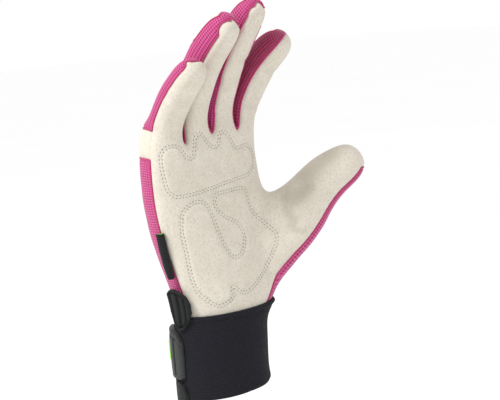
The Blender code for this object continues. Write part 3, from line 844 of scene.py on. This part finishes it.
def skin_relief(form, pads, creases):
    """Height of the cloth over the form at each point, and the painted shade round its creases."""
    edges, _, _ = seam_edges(form, skin_group)
    seam = form.places[np.unique(edges)]
    height = -SEAM_DIP * bell(distances(seam, form.places), SEAM_DIP_WIDTH)
    height += RIPPLE_HEIGHT * ripples(form.places, RIPPLE_SIZE)
    height += SUEDE_GRAIN_HEIGHT * ripples(form.places, SUEDE_GRAIN_SIZE)
    for pad in pads:
        away = distances(pad, form.places)
        near = np.flatnonzero(form.normals[:, 1] < PALM_FACING)
        within = np.zeros(len(form.places), dtype=bool)
        within[near] = inside_outline(form.places[near], pad[::OUTLINE_STRIDE])
        slope = np.clip(away / PAD_SLOPE, 0, 1)
        height += np.where(within, PAD_RISE * slope * slope * (3 - 2 * slope), 0.0)
        height -= ROW_GROOVE * bell(away - ROW_OFFSET, ROW_GROOVE_WIDTH)
    # Painted shade round the creases, for the suede's colour
    shade = np.zeros(len(form.places))
    for crease, path in zip(CREASES, creases):
        away = distances(path, form.places)
        height -= crease.depth * bell(away, crease.width)
        shade = np.maximum(shade, crease.shade * bell(away, crease.width * SHADE_SPREAD))
    return height, shade


def cuff_relief(form):
    """Height of the cuff's outside: rounded rims, a thin raised edge on top, a turned hem."""
    edges, sides, names = seam_edges(form, lambda label: "cuff" if "tuck" in label else label)
    on_cuff = (names[sides] == "cuff").any(axis=1)
    from_top = distances(form.places[np.unique(edges[on_cuff])], form.places)
    from_mouth = form.places[:, 2] - MOUTH_RISE * form.places[:, 0] / np.hypot(
        form.places[:, 0], form.places[:, 1]).clip(min=MOUTH_RISE)
    edge = np.minimum(from_top, np.abs(from_mouth))
    share = np.clip(edge / CUFF_ROUNDING, 0, 1)
    rounding = -CUFF_WALL * CUFF_EDGE_SHARE * (1 - np.sqrt(1 - (1 - share) ** 2))
    hem = CUFF_HEM_RISE * bell(from_top - CUFF_HEM_WIDTH / 2, CUFF_HEM_WIDTH / 2)
    groove = -CUFF_HEM_RISE * bell(from_top - CUFF_HEM_LINE, CUFF_HEM_WIDTH / 3)
    turn = CUFF_HEM_RISE * bell(np.abs(from_mouth) - CUFF_HEM_WIDTH, CUFF_HEM_WIDTH)
    folds = CUFF_FOLD_HEIGHT * ripples(form.places, CUFF_FOLD_SIZE)
    return rounding + hem + groove + turn + folds


def add_piece(name, mesh, look, slot_name):
    mesh.materials.append(look)
    piece = add_object(name, mesh)
    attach(piece, "root")
    return piece


def smooth_shading(mesh):
    mesh.shade_smooth()
    mesh.set_sharp_from_angle(angle=math.radians(SHARP_ANGLE))


def wall_piece(name, form, height, chosen, outside, inside, look, slot_name, shade=None):
    """A closed wall over the chosen faces: the outside follows the relief."""
    quads = form.quads[chosen]
    used, local = np.unique(quads, return_inverse=True)
    local = local.reshape(-1, 4)
    normals = form.normals[used]
    over = form.places[used] + normals * (outside + height[used])[:, None]
    sunk = np.minimum(height[used] + DEEP_RELIEF, 0)
    under = form.places[used] + normals * (inside + sunk)[:, None]
    edges, sides = edge_sides(local)
    rim_codes = {tuple(edge) for edge in edges[sides[:, 1] < 0]}
    count = len(used)
    rims = [(b, a, a + count, b + count)
            for quad in local.tolist() for a, b in zip(quad, quad[1:] + quad[:1])
            if (min(a, b), max(a, b)) in rim_codes]
    faces = local.tolist() + (local[:, ::-1] + count).tolist() + rims
    mesh = bpy.data.meshes.new(name)
    mesh.from_pydata(np.vstack([over, under]).tolist(), [], faces)
    cloth = form.cloth[chosen]
    cloth = np.concatenate([cloth, cloth[:, ::-1], np.zeros((len(rims), 4, 2))])
    mesh.uv_layers.new(name=CLOTH_LAYER).data.foreach_set("uv", cloth.ravel())
    smooth_shading(mesh)
    # Painted shade of the creases goes into the layer
    if shade is not None:
        layer = mesh.attributes.new(PAINTED_SHADE_LAYER, "FLOAT", "POINT")
        layer.data.foreach_set("value", np.tile(shade[used], 2))
    return add_piece(name, mesh, look, slot_name)


# Seam binding and stitches

def chains(edges):
    """Joins edges into runs of points."""
    beside = {}
    for a, b in edges.tolist():
        beside.setdefault(a, []).append(b)
        beside.setdefault(b, []).append(a)
    left = {frozenset(edge) for edge in edges.tolist()}
    starts = [v for v, ends in beside.items() if len(ends) != 2]
    runs = []
    for start in starts + list(beside):
        for first in beside[start]:
            if frozenset((start, first)) not in left:
                continue
            run = [start]
            here, following = start, first
            while following is not None:
                left.discard(frozenset((here, following)))
                run.append(following)
                here = following
                ways = [v for v in beside[here] if frozenset((here, v)) in left]
                following = ways[0] if len(beside[here]) == 2 and ways else None
            runs.append(run)
    return runs


def circle(count):
    """Cosine and sine of the turns round a circle."""
    turns = [2 * math.pi * j / count for j in range(count)]
    return [(math.cos(turn), math.sin(turn)) for turn in turns]


def lattice(bm, rows, cloth=None, spot=None, slot=0):
    """Quads between rows of vertices; spot gives a row's and column's cloth coordinates."""
    for k, (low, high) in enumerate(zip(rows, rows[1:])):
        for j in range(len(low) - 1):
            face = bm.faces.new((low[j], low[j + 1], high[j + 1], high[j]))
            face.material_index = slot
            if spot:
                corners = ((k, j), (k, j + 1), (k + 1, j + 1), (k + 1, j))
                for loop, corner in zip(face.loops, corners):
                    loop[cloth].uv = spot(*corner)


def add_ring(bm, centre, up, side, radius, count):
    return [bm.verts.new(centre + (up * c + side * s) * radius) for c, s in circle(count)]


def add_bead(bm, rings, closed=False, cloth=None, spot=None):
    """Joins rings of vertices into a bead and shuts the ends of an open one."""
    rounds = [ring + ring[:1] for ring in rings]
    lattice(bm, rounds + rounds[:1] if closed else rounds, cloth, spot)
    if not closed:
        bm.faces.new(rings[0][::-1])
        bm.faces.new(rings[-1])


def sweep(bm, cloth, path, ups, radius, sides, closed):
    """A round bead along a path; its ends close to a point."""
    count = len(path)
    rings = []
    lengths = [0.0]
    for k in range(count):
        before = path[k - 1] if closed or k else path[k]
        after = path[(k + 1) % count] if closed or k < count - 1 else path[k]
        tangent = (after - before).normalized()
        up = (ups[k] - tangent * ups[k].dot(tangent)).normalized()
        side = tangent.cross(up)
        size = radius if closed or 0 < k < count - 1 else radius * BEAD_END
        rings.append(add_ring(bm, path[k], up, side, size, sides))
        lengths.append(lengths[-1] + (path[(k + 1) % count] - path[k]).length)
    add_bead(bm, rings, closed, cloth, lambda row, column: (lengths[row], column * radius))


def finish_bmesh(name, bm, look, slot_name):
    bmesh.ops.recalc_face_normals(bm, faces=bm.faces)
    mesh = bpy.data.meshes.new(name)
    bm.to_mesh(mesh)
    bm.free()
    smooth_shading(mesh)
    return add_piece(name, mesh, look, slot_name)


def seam_binding(form, height, look):
    """The mesh's rolled edge: a bead along every seam with the suede, half sunk in it."""
    edges, sides, names = seam_edges(form, lambda label: PANELS.get(skin_group(label), label))
    kinds = names[sides]
    wanted = (np.sort(kinds, axis=1) == ["mesh", "suede"]).all(axis=1)
    edges, sides, kinds = edges[wanted], sides[wanted], kinds[wanted]
    centres = form.places[form.quads].mean(axis=1)
    inset = {}
    for (a, b), pair, kind in zip(edges, sides, kinds):
        into = centres[pair[0] if kind[0] == "mesh" else pair[1]]
        for v in (int(a), int(b)):
            inset[v] = inset.get(v, Vector()) + Vector(into - form.places[v])
    bm = bmesh.new()
    cloth = bm.loops.layers.uv.new(CLOTH_LAYER)
    for run in chains(edges):
        closed = run[0] == run[-1]
        points = []
        for v in run:
            normal = Vector(form.normals[v])
            way = inset[v] - normal * inset[v].dot(normal)
            points.append(Vector(form.places[v]) + way.normalized() * BINDING_INSET
                          + normal * (height[v] + BINDING_LIFT))
        for _ in range(BINDING_SMOOTHING):
            points[1:-1] = [(a + b * 2 + c) / 4 for a, b, c in zip(points, points[1:], points[2:])]
        if sum((b - a).length for a, b in zip(points, points[1:])) < BINDING_SHORTEST:
            continue
        tree = point_tree(points)
        path = even_path(points, BINDING_STEP)
        ups = [Vector(form.normals[run[tree.find(point)[1]]]) for point in path]
        if closed:
            path, ups = path[:-1], ups[:-1]
        sweep(bm, cloth, path, ups, BINDING_RADIUS, BINDING_SIDES, closed)
    return finish_bmesh("seam_binding", bm, look, "mesh")


def capsule(bm, centre, tangent, up, length, radius):
    """One stitch: a short rounded thread lying along the seam."""
    side = tangent.cross(up)
    add_bead(bm, [add_ring(bm, centre + tangent * (reach * length / 2), up, side, radius * size,
                           STITCH_SIDES) for reach, size in STITCH_SHAPE])


def stitch_rows(name, tree, paths, offsets, look, slot_name):
    """Rows of stitches beside each closed path, laid on the surface."""
    bm = bmesh.new()
    for path in paths:
        count = len(path) - 1
        for offset in offsets:
            row = []
            for k in range(count):
                spot, normal, _, _ = tree.find_nearest(path[k])
                ahead = path[(k + TANGENT_REACH) % count] - path[k - TANGENT_REACH]
                side = normal.cross(ahead.normalized())
                row.append(tree.find_nearest(spot + side * offset)[0])
            row.append(row[0])
            spots = even_path(row, STITCH_PITCH)
            for k, spot in enumerate(spots[:-1]):
                on, normal, _, _ = tree.find_nearest(spot)
                tangent = spots[k + 1] - spots[k - 1 if k else -2]
                tangent = (tangent - normal * tangent.dot(normal)).normalized()
                capsule(bm, on + normal * STITCH_LIFT, tangent, normal, STITCH_LENGTH, STITCH_RADIUS)
    return finish_bmesh(name, bm, look, slot_name)


# Trim on the cuff and the seam

def wrist_point(skin, angle, height, offset):
    """A point off the wrist, at an angle in degrees round its axis."""
    turn = math.radians(angle)
    start = Vector((0, 0, max(height, 2 * MOUTH_RISE)))
    hit = skin.ray_cast(start, Vector((math.cos(turn), math.sin(turn), 0)))[0]
    hit.z = height
    row = SECTIONS["cuff_middle"]
    width_share = row.width * knuckle_width() / (row.depth * PALM_DEPTH)
    outward = Vector((hit.x, hit.y * width_share ** 2, 0)).normalized()
    return hit + outward * offset


def between(stations, angle):
    """Lowest and highest edge of a plate at an angle, from its stations."""
    angles = [row.angle for row in stations]
    low = np.interp(angle, angles, [row.low for row in stations])
    high = np.interp(angle, angles, [row.high for row in stations])
    return float(low), float(high)


def wrapped_piece(name, skin, stations, inside, plate, relief, floor, looks):
    """A plate bent round the wrist with rounded edges; relief lowers or raises its face."""
    thickness, rounding = plate
    first, last = stations[0].angle, stations[-1].angle
    mouth_radius = SECTIONS["mouth"].depth * PALM_DEPTH / 2
    arc = math.radians(last - first) * mouth_radius
    count = round(arc / PLATE_STEP)
    tall = max(row.high - row.low for row in stations) * CUFF_HEIGHT
    steps = round(tall / PLATE_STEP)
    bm = bmesh.new()
    cloth = bm.loops.layers.uv.new(CLOTH_LAYER)
    groove = bm.verts.layers.float.new(PAINTED_SHADE_LAYER)
    sheets = ([], [])
    heights = []
    for k in range(count + 1):
        angle = first + (last - first) * k / count
        low, high = (share * CUFF_HEIGHT for share in between(stations, angle))
        if floor:
            low = max(low, between(floor, angle)[1] * CUFF_HEIGHT + SEAT_GAP)
        from_start, from_end = arc * k / count, arc * (count - k) / count
        heights.append([low + (high - low) * j / steps for j in range(steps + 1)])
        for sheet in sheets:
            sheet.append([])
        for z in heights[-1]:
            edge = min(from_start, from_end, z - low, high - z)
            share = min(1.0, max(0.0, edge / rounding))
            crown = EDGE_SHARE + (1 - EDGE_SHARE) * math.sqrt(1 - (1 - share) ** 2)
            raised = relief(Place(from_start, from_end, z - low, high - z, edge)) * share
            outside = inside + thickness * crown + raised
            for sheet, offset in zip(sheets, (inside, outside)):
                sheet[-1].append(bm.verts.new(wrist_point(skin, angle, z, offset)))
            # Painted shade in the dents of the plate's face
            sheets[1][-1][-1][groove] = min(1.0, max(0.0, -raised / FULL_SHADE_DEPTH))
    for sheet in sheets[::-1]:
        lattice(bm, sheet, cloth, lambda row, column: (arc * row / count, heights[row][column]))
    for rim in (0, -1):
        lattice(bm, [[column[rim] for column in sheet] for sheet in sheets])
        lattice(bm, [sheet[rim] for sheet in sheets])
    return finish_bmesh(name, bm, *looks)


def dent(distance, width, depth):
    return -depth * float(bell(distance, width))


def clasp_relief(place):
    """A lip under the top edge, a groove beside the front edge and a small slot between."""
    height = dent(place.from_high - CLASP_LIP, CLASP_LINE_WIDTH, CLASP_LINE_DEPTH)
    if place.from_low > CLASP_LIP and place.from_high > CLASP_LIP:
        height += dent(place.from_end - CLASP_GROOVE, CLASP_LINE_WIDTH, CLASP_GROOVE_DEPTH)
    slot_across = max(0.0, abs(place.from_end - CLASP_SLOT_AT[0]) - CLASP_SLOT_SIZE[0] / 2)
    slot_down = max(0.0, abs(place.from_high - CLASP_SLOT_AT[1]) - CLASP_SLOT_SIZE[1] / 2)
    height += dent(math.hypot(slot_across, slot_down), CLASP_LINE_WIDTH, CLASP_SLOT_DEPTH)
    if place.edge > CLASP_FRAME:
        height += CLASP_PANEL_RISE * min(1.0, (place.edge - CLASP_FRAME) / CLASP_FRAME)
    return height


def tab_relief(place):
    """A bound edge round a quilted leaf with a crease up its middle."""
    height = TAB_BINDING_RISE * math.exp(-((place.edge - TAB_BINDING / 2) / (TAB_BINDING / 2)) ** 4)
    height += dent(place.edge - TAB_SEAM_AT, TAB_SEAM_WIDTH, TAB_BINDING_RISE)
    middle = place.from_end - TAB_CREASE_AT * (place.from_start + place.from_end)
    if place.edge > TAB_BINDING:
        height += dent(middle, TAB_CREASE_WIDTH, TAB_CREASE_DEPTH)
    return height


def strap_relief(place):
    """Woven selvedges: a thin raised edge with a line of sewing inside it."""
    across = min(place.from_low, place.from_high)
    return (dent(across - SELVEDGE, SELVEDGE / 3, SELVEDGE_DEPTH)
            + dent(place.from_start - 2 * SELVEDGE, SELVEDGE / 3, SELVEDGE_DEPTH))


def tail_relief(place):
    """Two layers of webbing folded over, with the upper layer's edge along the middle."""
    across = place.from_end - TAIL_FOLD
    return TAIL_STEP / (1 + math.exp(across / (TAIL_STEP / 2))) + strap_relief(place)


def badge_relief(place):
    """A smooth inlay with a raised border."""
    return dent(place.edge - BADGE_BORDER, BADGE_BORDER / 2, BADGE_LINE_DEPTH)


def label_piece(skin, looks):
    """A folded label sewn into the little-finger seam: a flattened tube open at its top."""
    facing = math.radians(LABEL_FACING)
    out = Vector((math.cos(facing), math.sin(facing), 0))
    across = out.cross(Vector((0, 0, 1)))
    depth = SECTIONS["thumb_middle"].centre_y * PALM_DEPTH - SEAM_FORWARD - LABEL_FORWARD
    bm = bmesh.new()
    cloth = bm.loops.layers.uv.new(CLOTH_LAYER)
    layers = ([], [])
    for k in range(LABEL_STATIONS + 1):
        share = k / LABEL_STATIONS
        start = Vector((0, depth, LABEL_FOOT + LABEL_LENGTH * share))
        hit = skin.ray_cast(start, Vector((-1, 0, 0)))[0]
        taper = LABEL_FOOT_WIDTH + (1 - LABEL_FOOT_WIDTH) * math.sqrt(
            min(1.0, share / LABEL_TAPER_SHARE))
        centre = hit + out * (SEAT_GAP + LABEL_STAND / 2)
        for layer, reach in zip(layers, (0.0, LABEL_WALL)):
            ring = []
            for j, (c, s) in enumerate(circle(LABEL_SIDES)):
                turn = 2 * math.pi * j / LABEL_SIDES
                bulge = LABEL_RIB * math.cos(LABEL_RIBS * turn) if not reach else 0.0
                stand = (LABEL_STAND / 2 - reach + bulge) * c
                width = (LABEL_WIDTH / 2 * taper - reach + bulge) * s
                ring.append(bm.verts.new(centre + out * stand + across * width))
            layer.append(ring + ring[:1])
    for side, layer in enumerate(layers):
        lattice(bm, layer, cloth, lambda row, column: (
            column * LABEL_WIDTH / 4, row / LABEL_STATIONS * LABEL_LENGTH), side)
    for end in (0, -1):
        lattice(bm, [layer[end] for layer in layers])
    piece = finish_bmesh("side_label_loop", bm, *looks[:2])
    piece.data.materials.append(looks[2])
    return piece


# Materials

class Look:
    """A material's node tree with short calls for the nodes that it uses."""

    def __init__(self, name, color, roughness, sheen=0.0, sheen_roughness=0.5, specular=0.5):
        self.material = bpy.data.materials.new(name)
        self.material.use_nodes = True
        self.material.diffuse_color = (*color, 1.0)
        self.tree = self.material.node_tree
        self.shader = self.fill(self.tree.nodes["Principled BSDF"], {
            "Base Color": color, "Roughness": roughness, "Sheen Weight": sheen,
            "Sheen Roughness": sheen_roughness, "Specular IOR Level": specular})

    def fill(self, node, inputs):
        """Sets a node's inputs or links them; None leaves one as it is."""
        for key, value in inputs.items():
            if isinstance(value, bpy.types.NodeSocket):
                self.tree.links.new(value, node.inputs[key])
            elif value is not None:
                color = isinstance(value, tuple)
                node.inputs[key].default_value = (*value, 1.0) if color else value
        return node

    def node(self, kind, inputs, **settings):
        made = self.tree.nodes.new(kind)
        for key, value in settings.items():
            setattr(made, key, value)
        return self.fill(made, inputs)

    def math(self, operation, *values):
        return self.node("ShaderNodeMath", dict(enumerate(values)), operation=operation).outputs[0]

    def plus(self, first, second):
        return self.math("ADD", first, second)

    def times(self, first, second):
        return self.math("MULTIPLY", first, second)

    def cloth(self):
        """Cloth coordinates in millimetres, round and along."""
        spot = self.node("ShaderNodeUVMap", {}, uv_map=CLOTH_LAYER).outputs[0]
        parts = self.node("ShaderNodeSeparateXYZ", {0: spot}).outputs
        return self.times(parts[0], 1000), self.times(parts[1], 1000)

    def noise(self, name):
        """Cloudy values, as a row of the noises describes them."""
        row = NOISES[name]
        places = self.node("ShaderNodeTexCoord", {}).outputs["Object"]
        return self.node("ShaderNodeTexNoise", {
            "Vector": places, "Scale": 1 / row.size, "Detail": row.detail,
            "Roughness": row.roughness}).outputs["Fac"]

    def share(self, name, value):
        """A noise between its low and high levels, as 0 to its full share."""
        row = NOISES[name]
        return self.times(self.spread(value, row.low, row.high), row.share)

    def cloud(self, name):
        return self.share(name, self.noise(name))

    def groove(self, color, deep):
        """The colour, darkened towards a painted shade colour where a point lies in a crease or dent.
        """
        share = self.node("ShaderNodeAttribute", {}, attribute_name=PAINTED_SHADE_LAYER).outputs["Fac"]
        return self.mix(share, color, deep)

    def wave(self, value, pitch):
        """A wave between -1 and 1 with a pitch in millimetres."""
        return self.math("SINE", self.times(value, 2 * math.pi / pitch))

    def spread(self, value, low, high, start=0.0, end=1.0):
        """The value between two levels, from the start to the end."""
        inputs = dict(enumerate((value, low, high, start, end)))
        return self.node("ShaderNodeMapRange", inputs).outputs[0]

    def mix(self, share, first, second):
        inputs = {0: share, 6: first, 7: second}
        return self.node("ShaderNodeMix", inputs, data_type="RGBA").outputs[2]

    def finish(self, color, roughness=None, **heights):
        """Links the colour, the roughness and the named bumps, one upon the other."""
        normal = None
        for name, height in heights.items():
            rise, strength = BUMPS[name]
            normal = self.node("ShaderNodeBump", {
                "Strength": strength, "Distance": rise, "Height": height,
                "Normal": normal}).outputs[0]
        self.fill(self.shader, {"Base Color": color, "Roughness": roughness, "Normal": normal})
        return self.material


def suede_look():
    look = Look("suede", SUEDE_PALE, *SUEDE_SURFACE)
    nap = look.noise("suede_nap")
    color = look.mix(look.cloud("suede_clouds"), SUEDE_SHADE, SUEDE_PALE)
    color = look.mix(look.share("suede_nap", nap), color, SUEDE_NAP)
    color = look.mix(look.cloud("suede_dust"), color, SUEDE_WARM)
    # Painted shade: the suede darkens towards its shade colour where the layer says so
    return look.finish(look.groove(color, SUEDE_PAINTED_SHADE), look.spread(nap, *SUEDE_ROUGHNESS),
                       suede_nap=nap, suede_grain=look.noise("suede_grain"))


def mesh_look(name, dark, base, bright):
    """Air mesh: small lozenge cells crossed by fine ribs."""
    look = Look(name, base, *MESH_SURFACE)
    across, reach = look.cloth()
    wobble = look.times(look.math("SUBTRACT", look.noise("mesh_wobble"), 0.5), MESH_WOBBLE)
    slant = look.times(across, MESH_SLANT)
    one = look.wave(look.plus(look.plus(slant, reach), wobble), MESH_PITCH)
    two = look.wave(look.plus(look.math("SUBTRACT", reach, slant), wobble), MESH_PITCH)
    rib = look.wave(reach, MESH_PITCH / 2)
    height = look.plus(look.times(one, two), look.times(rib, MESH_RIB))
    level = look.spread(height, *MESH_LEVELS)
    color = look.mix(look.spread(level, *MESH_HOLES), dark, base)
    color = look.mix(look.spread(level, *MESH_THREADS), color, bright)
    return look.finish(look.mix(look.cloud("mesh_clouds"), color, base), mesh=level)


def binding_look():
    """Rolled edge of the mesh: close oversewn threads across the bead."""
    look = Look("mesh_binding", BINDING_PINK, *BINDING_SURFACE)
    along_bead, round_bead = look.cloth()
    threads = look.plus(along_bead, look.times(round_bead, BINDING_SLANT))
    level = look.spread(look.wave(threads, BINDING_PITCH), -1.0, 1.0)
    return look.finish(look.mix(level, BINDING_DARK, BINDING_PINK), binding=level)


def knit_look():
    """Black elastic knit: rows of small V-shaped loops."""
    look = Look("knit", KNIT_BLACK, *KNIT_SURFACE)
    across, reach = look.cloth()
    column = look.math("ABSOLUTE", look.wave(across, 2 * KNIT_COLUMN))
    row = look.wave(look.plus(reach, look.times(column, KNIT_LOOP)), KNIT_ROW)
    loops = look.plus(look.times(row, KNIT_ROW_SHARE), look.times(column, KNIT_COLUMN_SHARE))
    level = look.spread(loops, *KNIT_LEVELS)
    fuzz = look.noise("knit_fuzz")
    color = look.mix(level, KNIT_DEEP, KNIT_BLACK)
    color = look.mix(look.share("knit_fuzz", fuzz), color, KNIT_FUZZ)
    return look.finish(color, knit=level, knit_fuzz=fuzz)


def webbing_look():
    """Black woven tape: a fine twill with fuzzy edges."""
    look = Look("webbing", WEBBING_BLACK, *WEBBING_SURFACE)
    across, reach = look.cloth()
    twill = look.wave(look.plus(across, reach), WEBBING_PITCH)
    cross = look.wave(look.math("SUBTRACT", across, reach), WEBBING_PITCH)
    woven = look.math("MAXIMUM", twill, look.times(cross, WEBBING_CROSS))
    level = look.spread(woven, *WEBBING_LEVELS)
    color = look.mix(level, WEBBING_DEEP_AND_SHADE, WEBBING_BLACK)
    # Painted shade in the dents of the tape and tab
    return look.finish(look.groove(color, WEBBING_DEEP_AND_SHADE),
                       webbing=level, webbing_fuzz=look.noise("webbing_fuzz"))


def rubber_look():
    """Moulded dark grey rubber with a fine spark texture and rubbed places."""
    look = Look("rubber", RUBBER_GREY, *RUBBER_SURFACE)
    wear = look.cloud("rubber_wear")
    color = look.mix(wear, RUBBER_GREY, RUBBER_WORN)
    # Painted shade in the plate's dents
    return look.finish(look.groove(color, RUBBER_PAINTED_SHADE), look.spread(wear, *RUBBER_ROUGHNESS),
                       rubber=look.noise("rubber_grain"))


def grained_look(name, deep, color, surface):
    """A plain stuff whose colour and surface follow one fine grain."""
    look = Look(name, color, *surface)
    grain = look.noise(name)
    return look.finish(look.mix(look.share(name, grain), deep, color), **{name: grain})


# Stage, lights and camera

def add_stage():
    bm = bmesh.new()
    bmesh.ops.create_grid(bm, x_segments=FLOOR_CELLS, y_segments=FLOOR_CELLS, size=FLOOR_HALF)
    mesh = bpy.data.meshes.new("floor")
    bm.to_mesh(mesh)
    bm.free()
    floor = add_object("floor", mesh)
    floor.location = (0, 0, FLOOR_HEIGHT)
    look = Look("floor", FLOOR_WHITE, FLOOR_ROUGHNESS)
    mesh.materials.append(look.finish(look.mix(look.cloud("floor"), FLOOR_WHITE, FLOOR_SHADE)))


def add_lights():
    world = bpy.data.worlds.new("studio")
    world.use_nodes = True
    shade = world.node_tree.nodes["Background"]
    shade.inputs["Color"].default_value = (1.0, 1.0, 1.0, 1.0)
    shade.inputs["Strength"].default_value = WORLD_LEVEL
    bpy.context.scene.world = world
    x_axis, y_axis, back = camera_frame()
    for row in LAMPS:
        data = bpy.data.lights.new(row.name, "AREA")
        data.shape = "DISK"
        data.size = row.size
        data.energy = row.power
        way = x_axis * row.across + y_axis * row.upward + back * row.towards
        lamp = add_object(row.name, data)
        lamp.location = CAMERA_AIM + way
        lamp.rotation_euler = (-way).to_track_quat("-Z", "Y").to_euler()
    bpy.context.scene.view_settings.view_transform = "Standard"


def add_camera():
    x_axis, y_axis, back = camera_frame()
    data = bpy.data.cameras.new("camera")
    data.sensor_fit = "HORIZONTAL"
    data.sensor_width = SENSOR_WIDTH
    data.lens = FOCAL_LENGTH
    data.clip_start, data.clip_end = CAMERA_CLIP
    camera = add_object("camera", data)
    pose = Matrix((x_axis, y_axis, back)).transposed().to_4x4()
    pose.translation = CAMERA_AIM + back * CAMERA_DISTANCE
    camera.matrix_world = pose
    bpy.context.scene.camera = camera


def build():
    add_camera()
    add_lights()
    add_stage()
    looks = {
        "suede": suede_look(),
        "mesh": mesh_look("mesh", MESH_DARK, MESH_PINK, MESH_BRIGHT),
        "mesh_inner": mesh_look("mesh_inner", *MESH_PAINTED_SHADOW_TONES),
        "knit": knit_look(),
        "webbing": webbing_look(),
        "rubber": rubber_look(),
        "accent": grained_look("accent", LIME_DEEP, LIME, ACCENT_SURFACE),
        "binding": binding_look(),
        "thread": grained_look("thread", THREAD_DARK, THREAD_GREY, THREAD_SURFACE),
    }
    form = make_form(FORM_LEVEL)
    widen_suede(form)
    bare = surface_tree(form.places, form)
    pads = [path_on(bare, pixels, True, PATH_STEP) for pixels in (UPPER_PAD, LOWER_PAD)]
    creases = [path_on(bare, crease.pixels, False, CREASE_STEP) for crease in CREASES]
    height, shade = skin_relief(form, pads, creases)
    for name, look in PANELS.items():
        marks = [LABELS.index(label) for label in (name, TUCKS.get(name)) if label]
        chosen = np.flatnonzero(np.isin(form.marks, marks))
        # The index finger's side strip takes the darker mesh: painted shadow where the middle finger
        # shades it
        shown = looks["mesh_inner" if name == "index_side_strip" else look]
        skin = wall_piece(name + "_skin", form, height, chosen, 0.0, -WALLS[look], shown, look, shade)
        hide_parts(name)
    cuff_marks = [LABELS.index(label) for label in ("cuff", "palm_tuck", "back_tuck")]
    chosen = np.flatnonzero(np.isin(form.marks, cuff_marks))
    cuff = wall_piece("cuff_knit", form, cuff_relief(form), chosen, SEAT_GAP + CUFF_WALL, SEAT_GAP,
                      looks["knit"], "knit")
    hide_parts("cuff")
    seam_binding(form, height, looks["binding"])
    sewn = surface_tree(form.places + form.normals * height[:, None], form)
    stitch_rows("pad_stitches", sewn, pads, (-ROW_OFFSET, ROW_OFFSET), looks["thread"], "suede")
    add_trim(bare, looks)


def add_trim(skin, looks):
    on_cuff = CUFF_WALL + 2 * SEAT_GAP
    on_clasp = on_cuff + CLASP_PLATE[0] + SEAT_GAP
    trims = (
        ("clasp_plate", "rubber", CLASP, on_cuff, CLASP_PLATE, clasp_relief, None),
        ("clasp_badge", "accent", BADGE, on_clasp, BADGE_PLATE, badge_relief, None),
        ("closure_strap", "webbing", STRAP, on_cuff, STRAP_PLATE, strap_relief, None),
        ("pull_tab", "webbing", PULL_TAB, on_cuff, TAB_PLATE, tab_relief, CLASP),
        ("strap_tail", "webbing", TAIL, on_cuff, STRAP_PLATE, tail_relief, None))
    for name, look, *shape in trims:
        piece = wrapped_piece(name + "_piece", skin, *shape, (looks[look], look))
        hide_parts(name)
    label = label_piece(skin, (looks["webbing"], "webbing", looks["accent"]))
    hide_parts("side_label")


build()
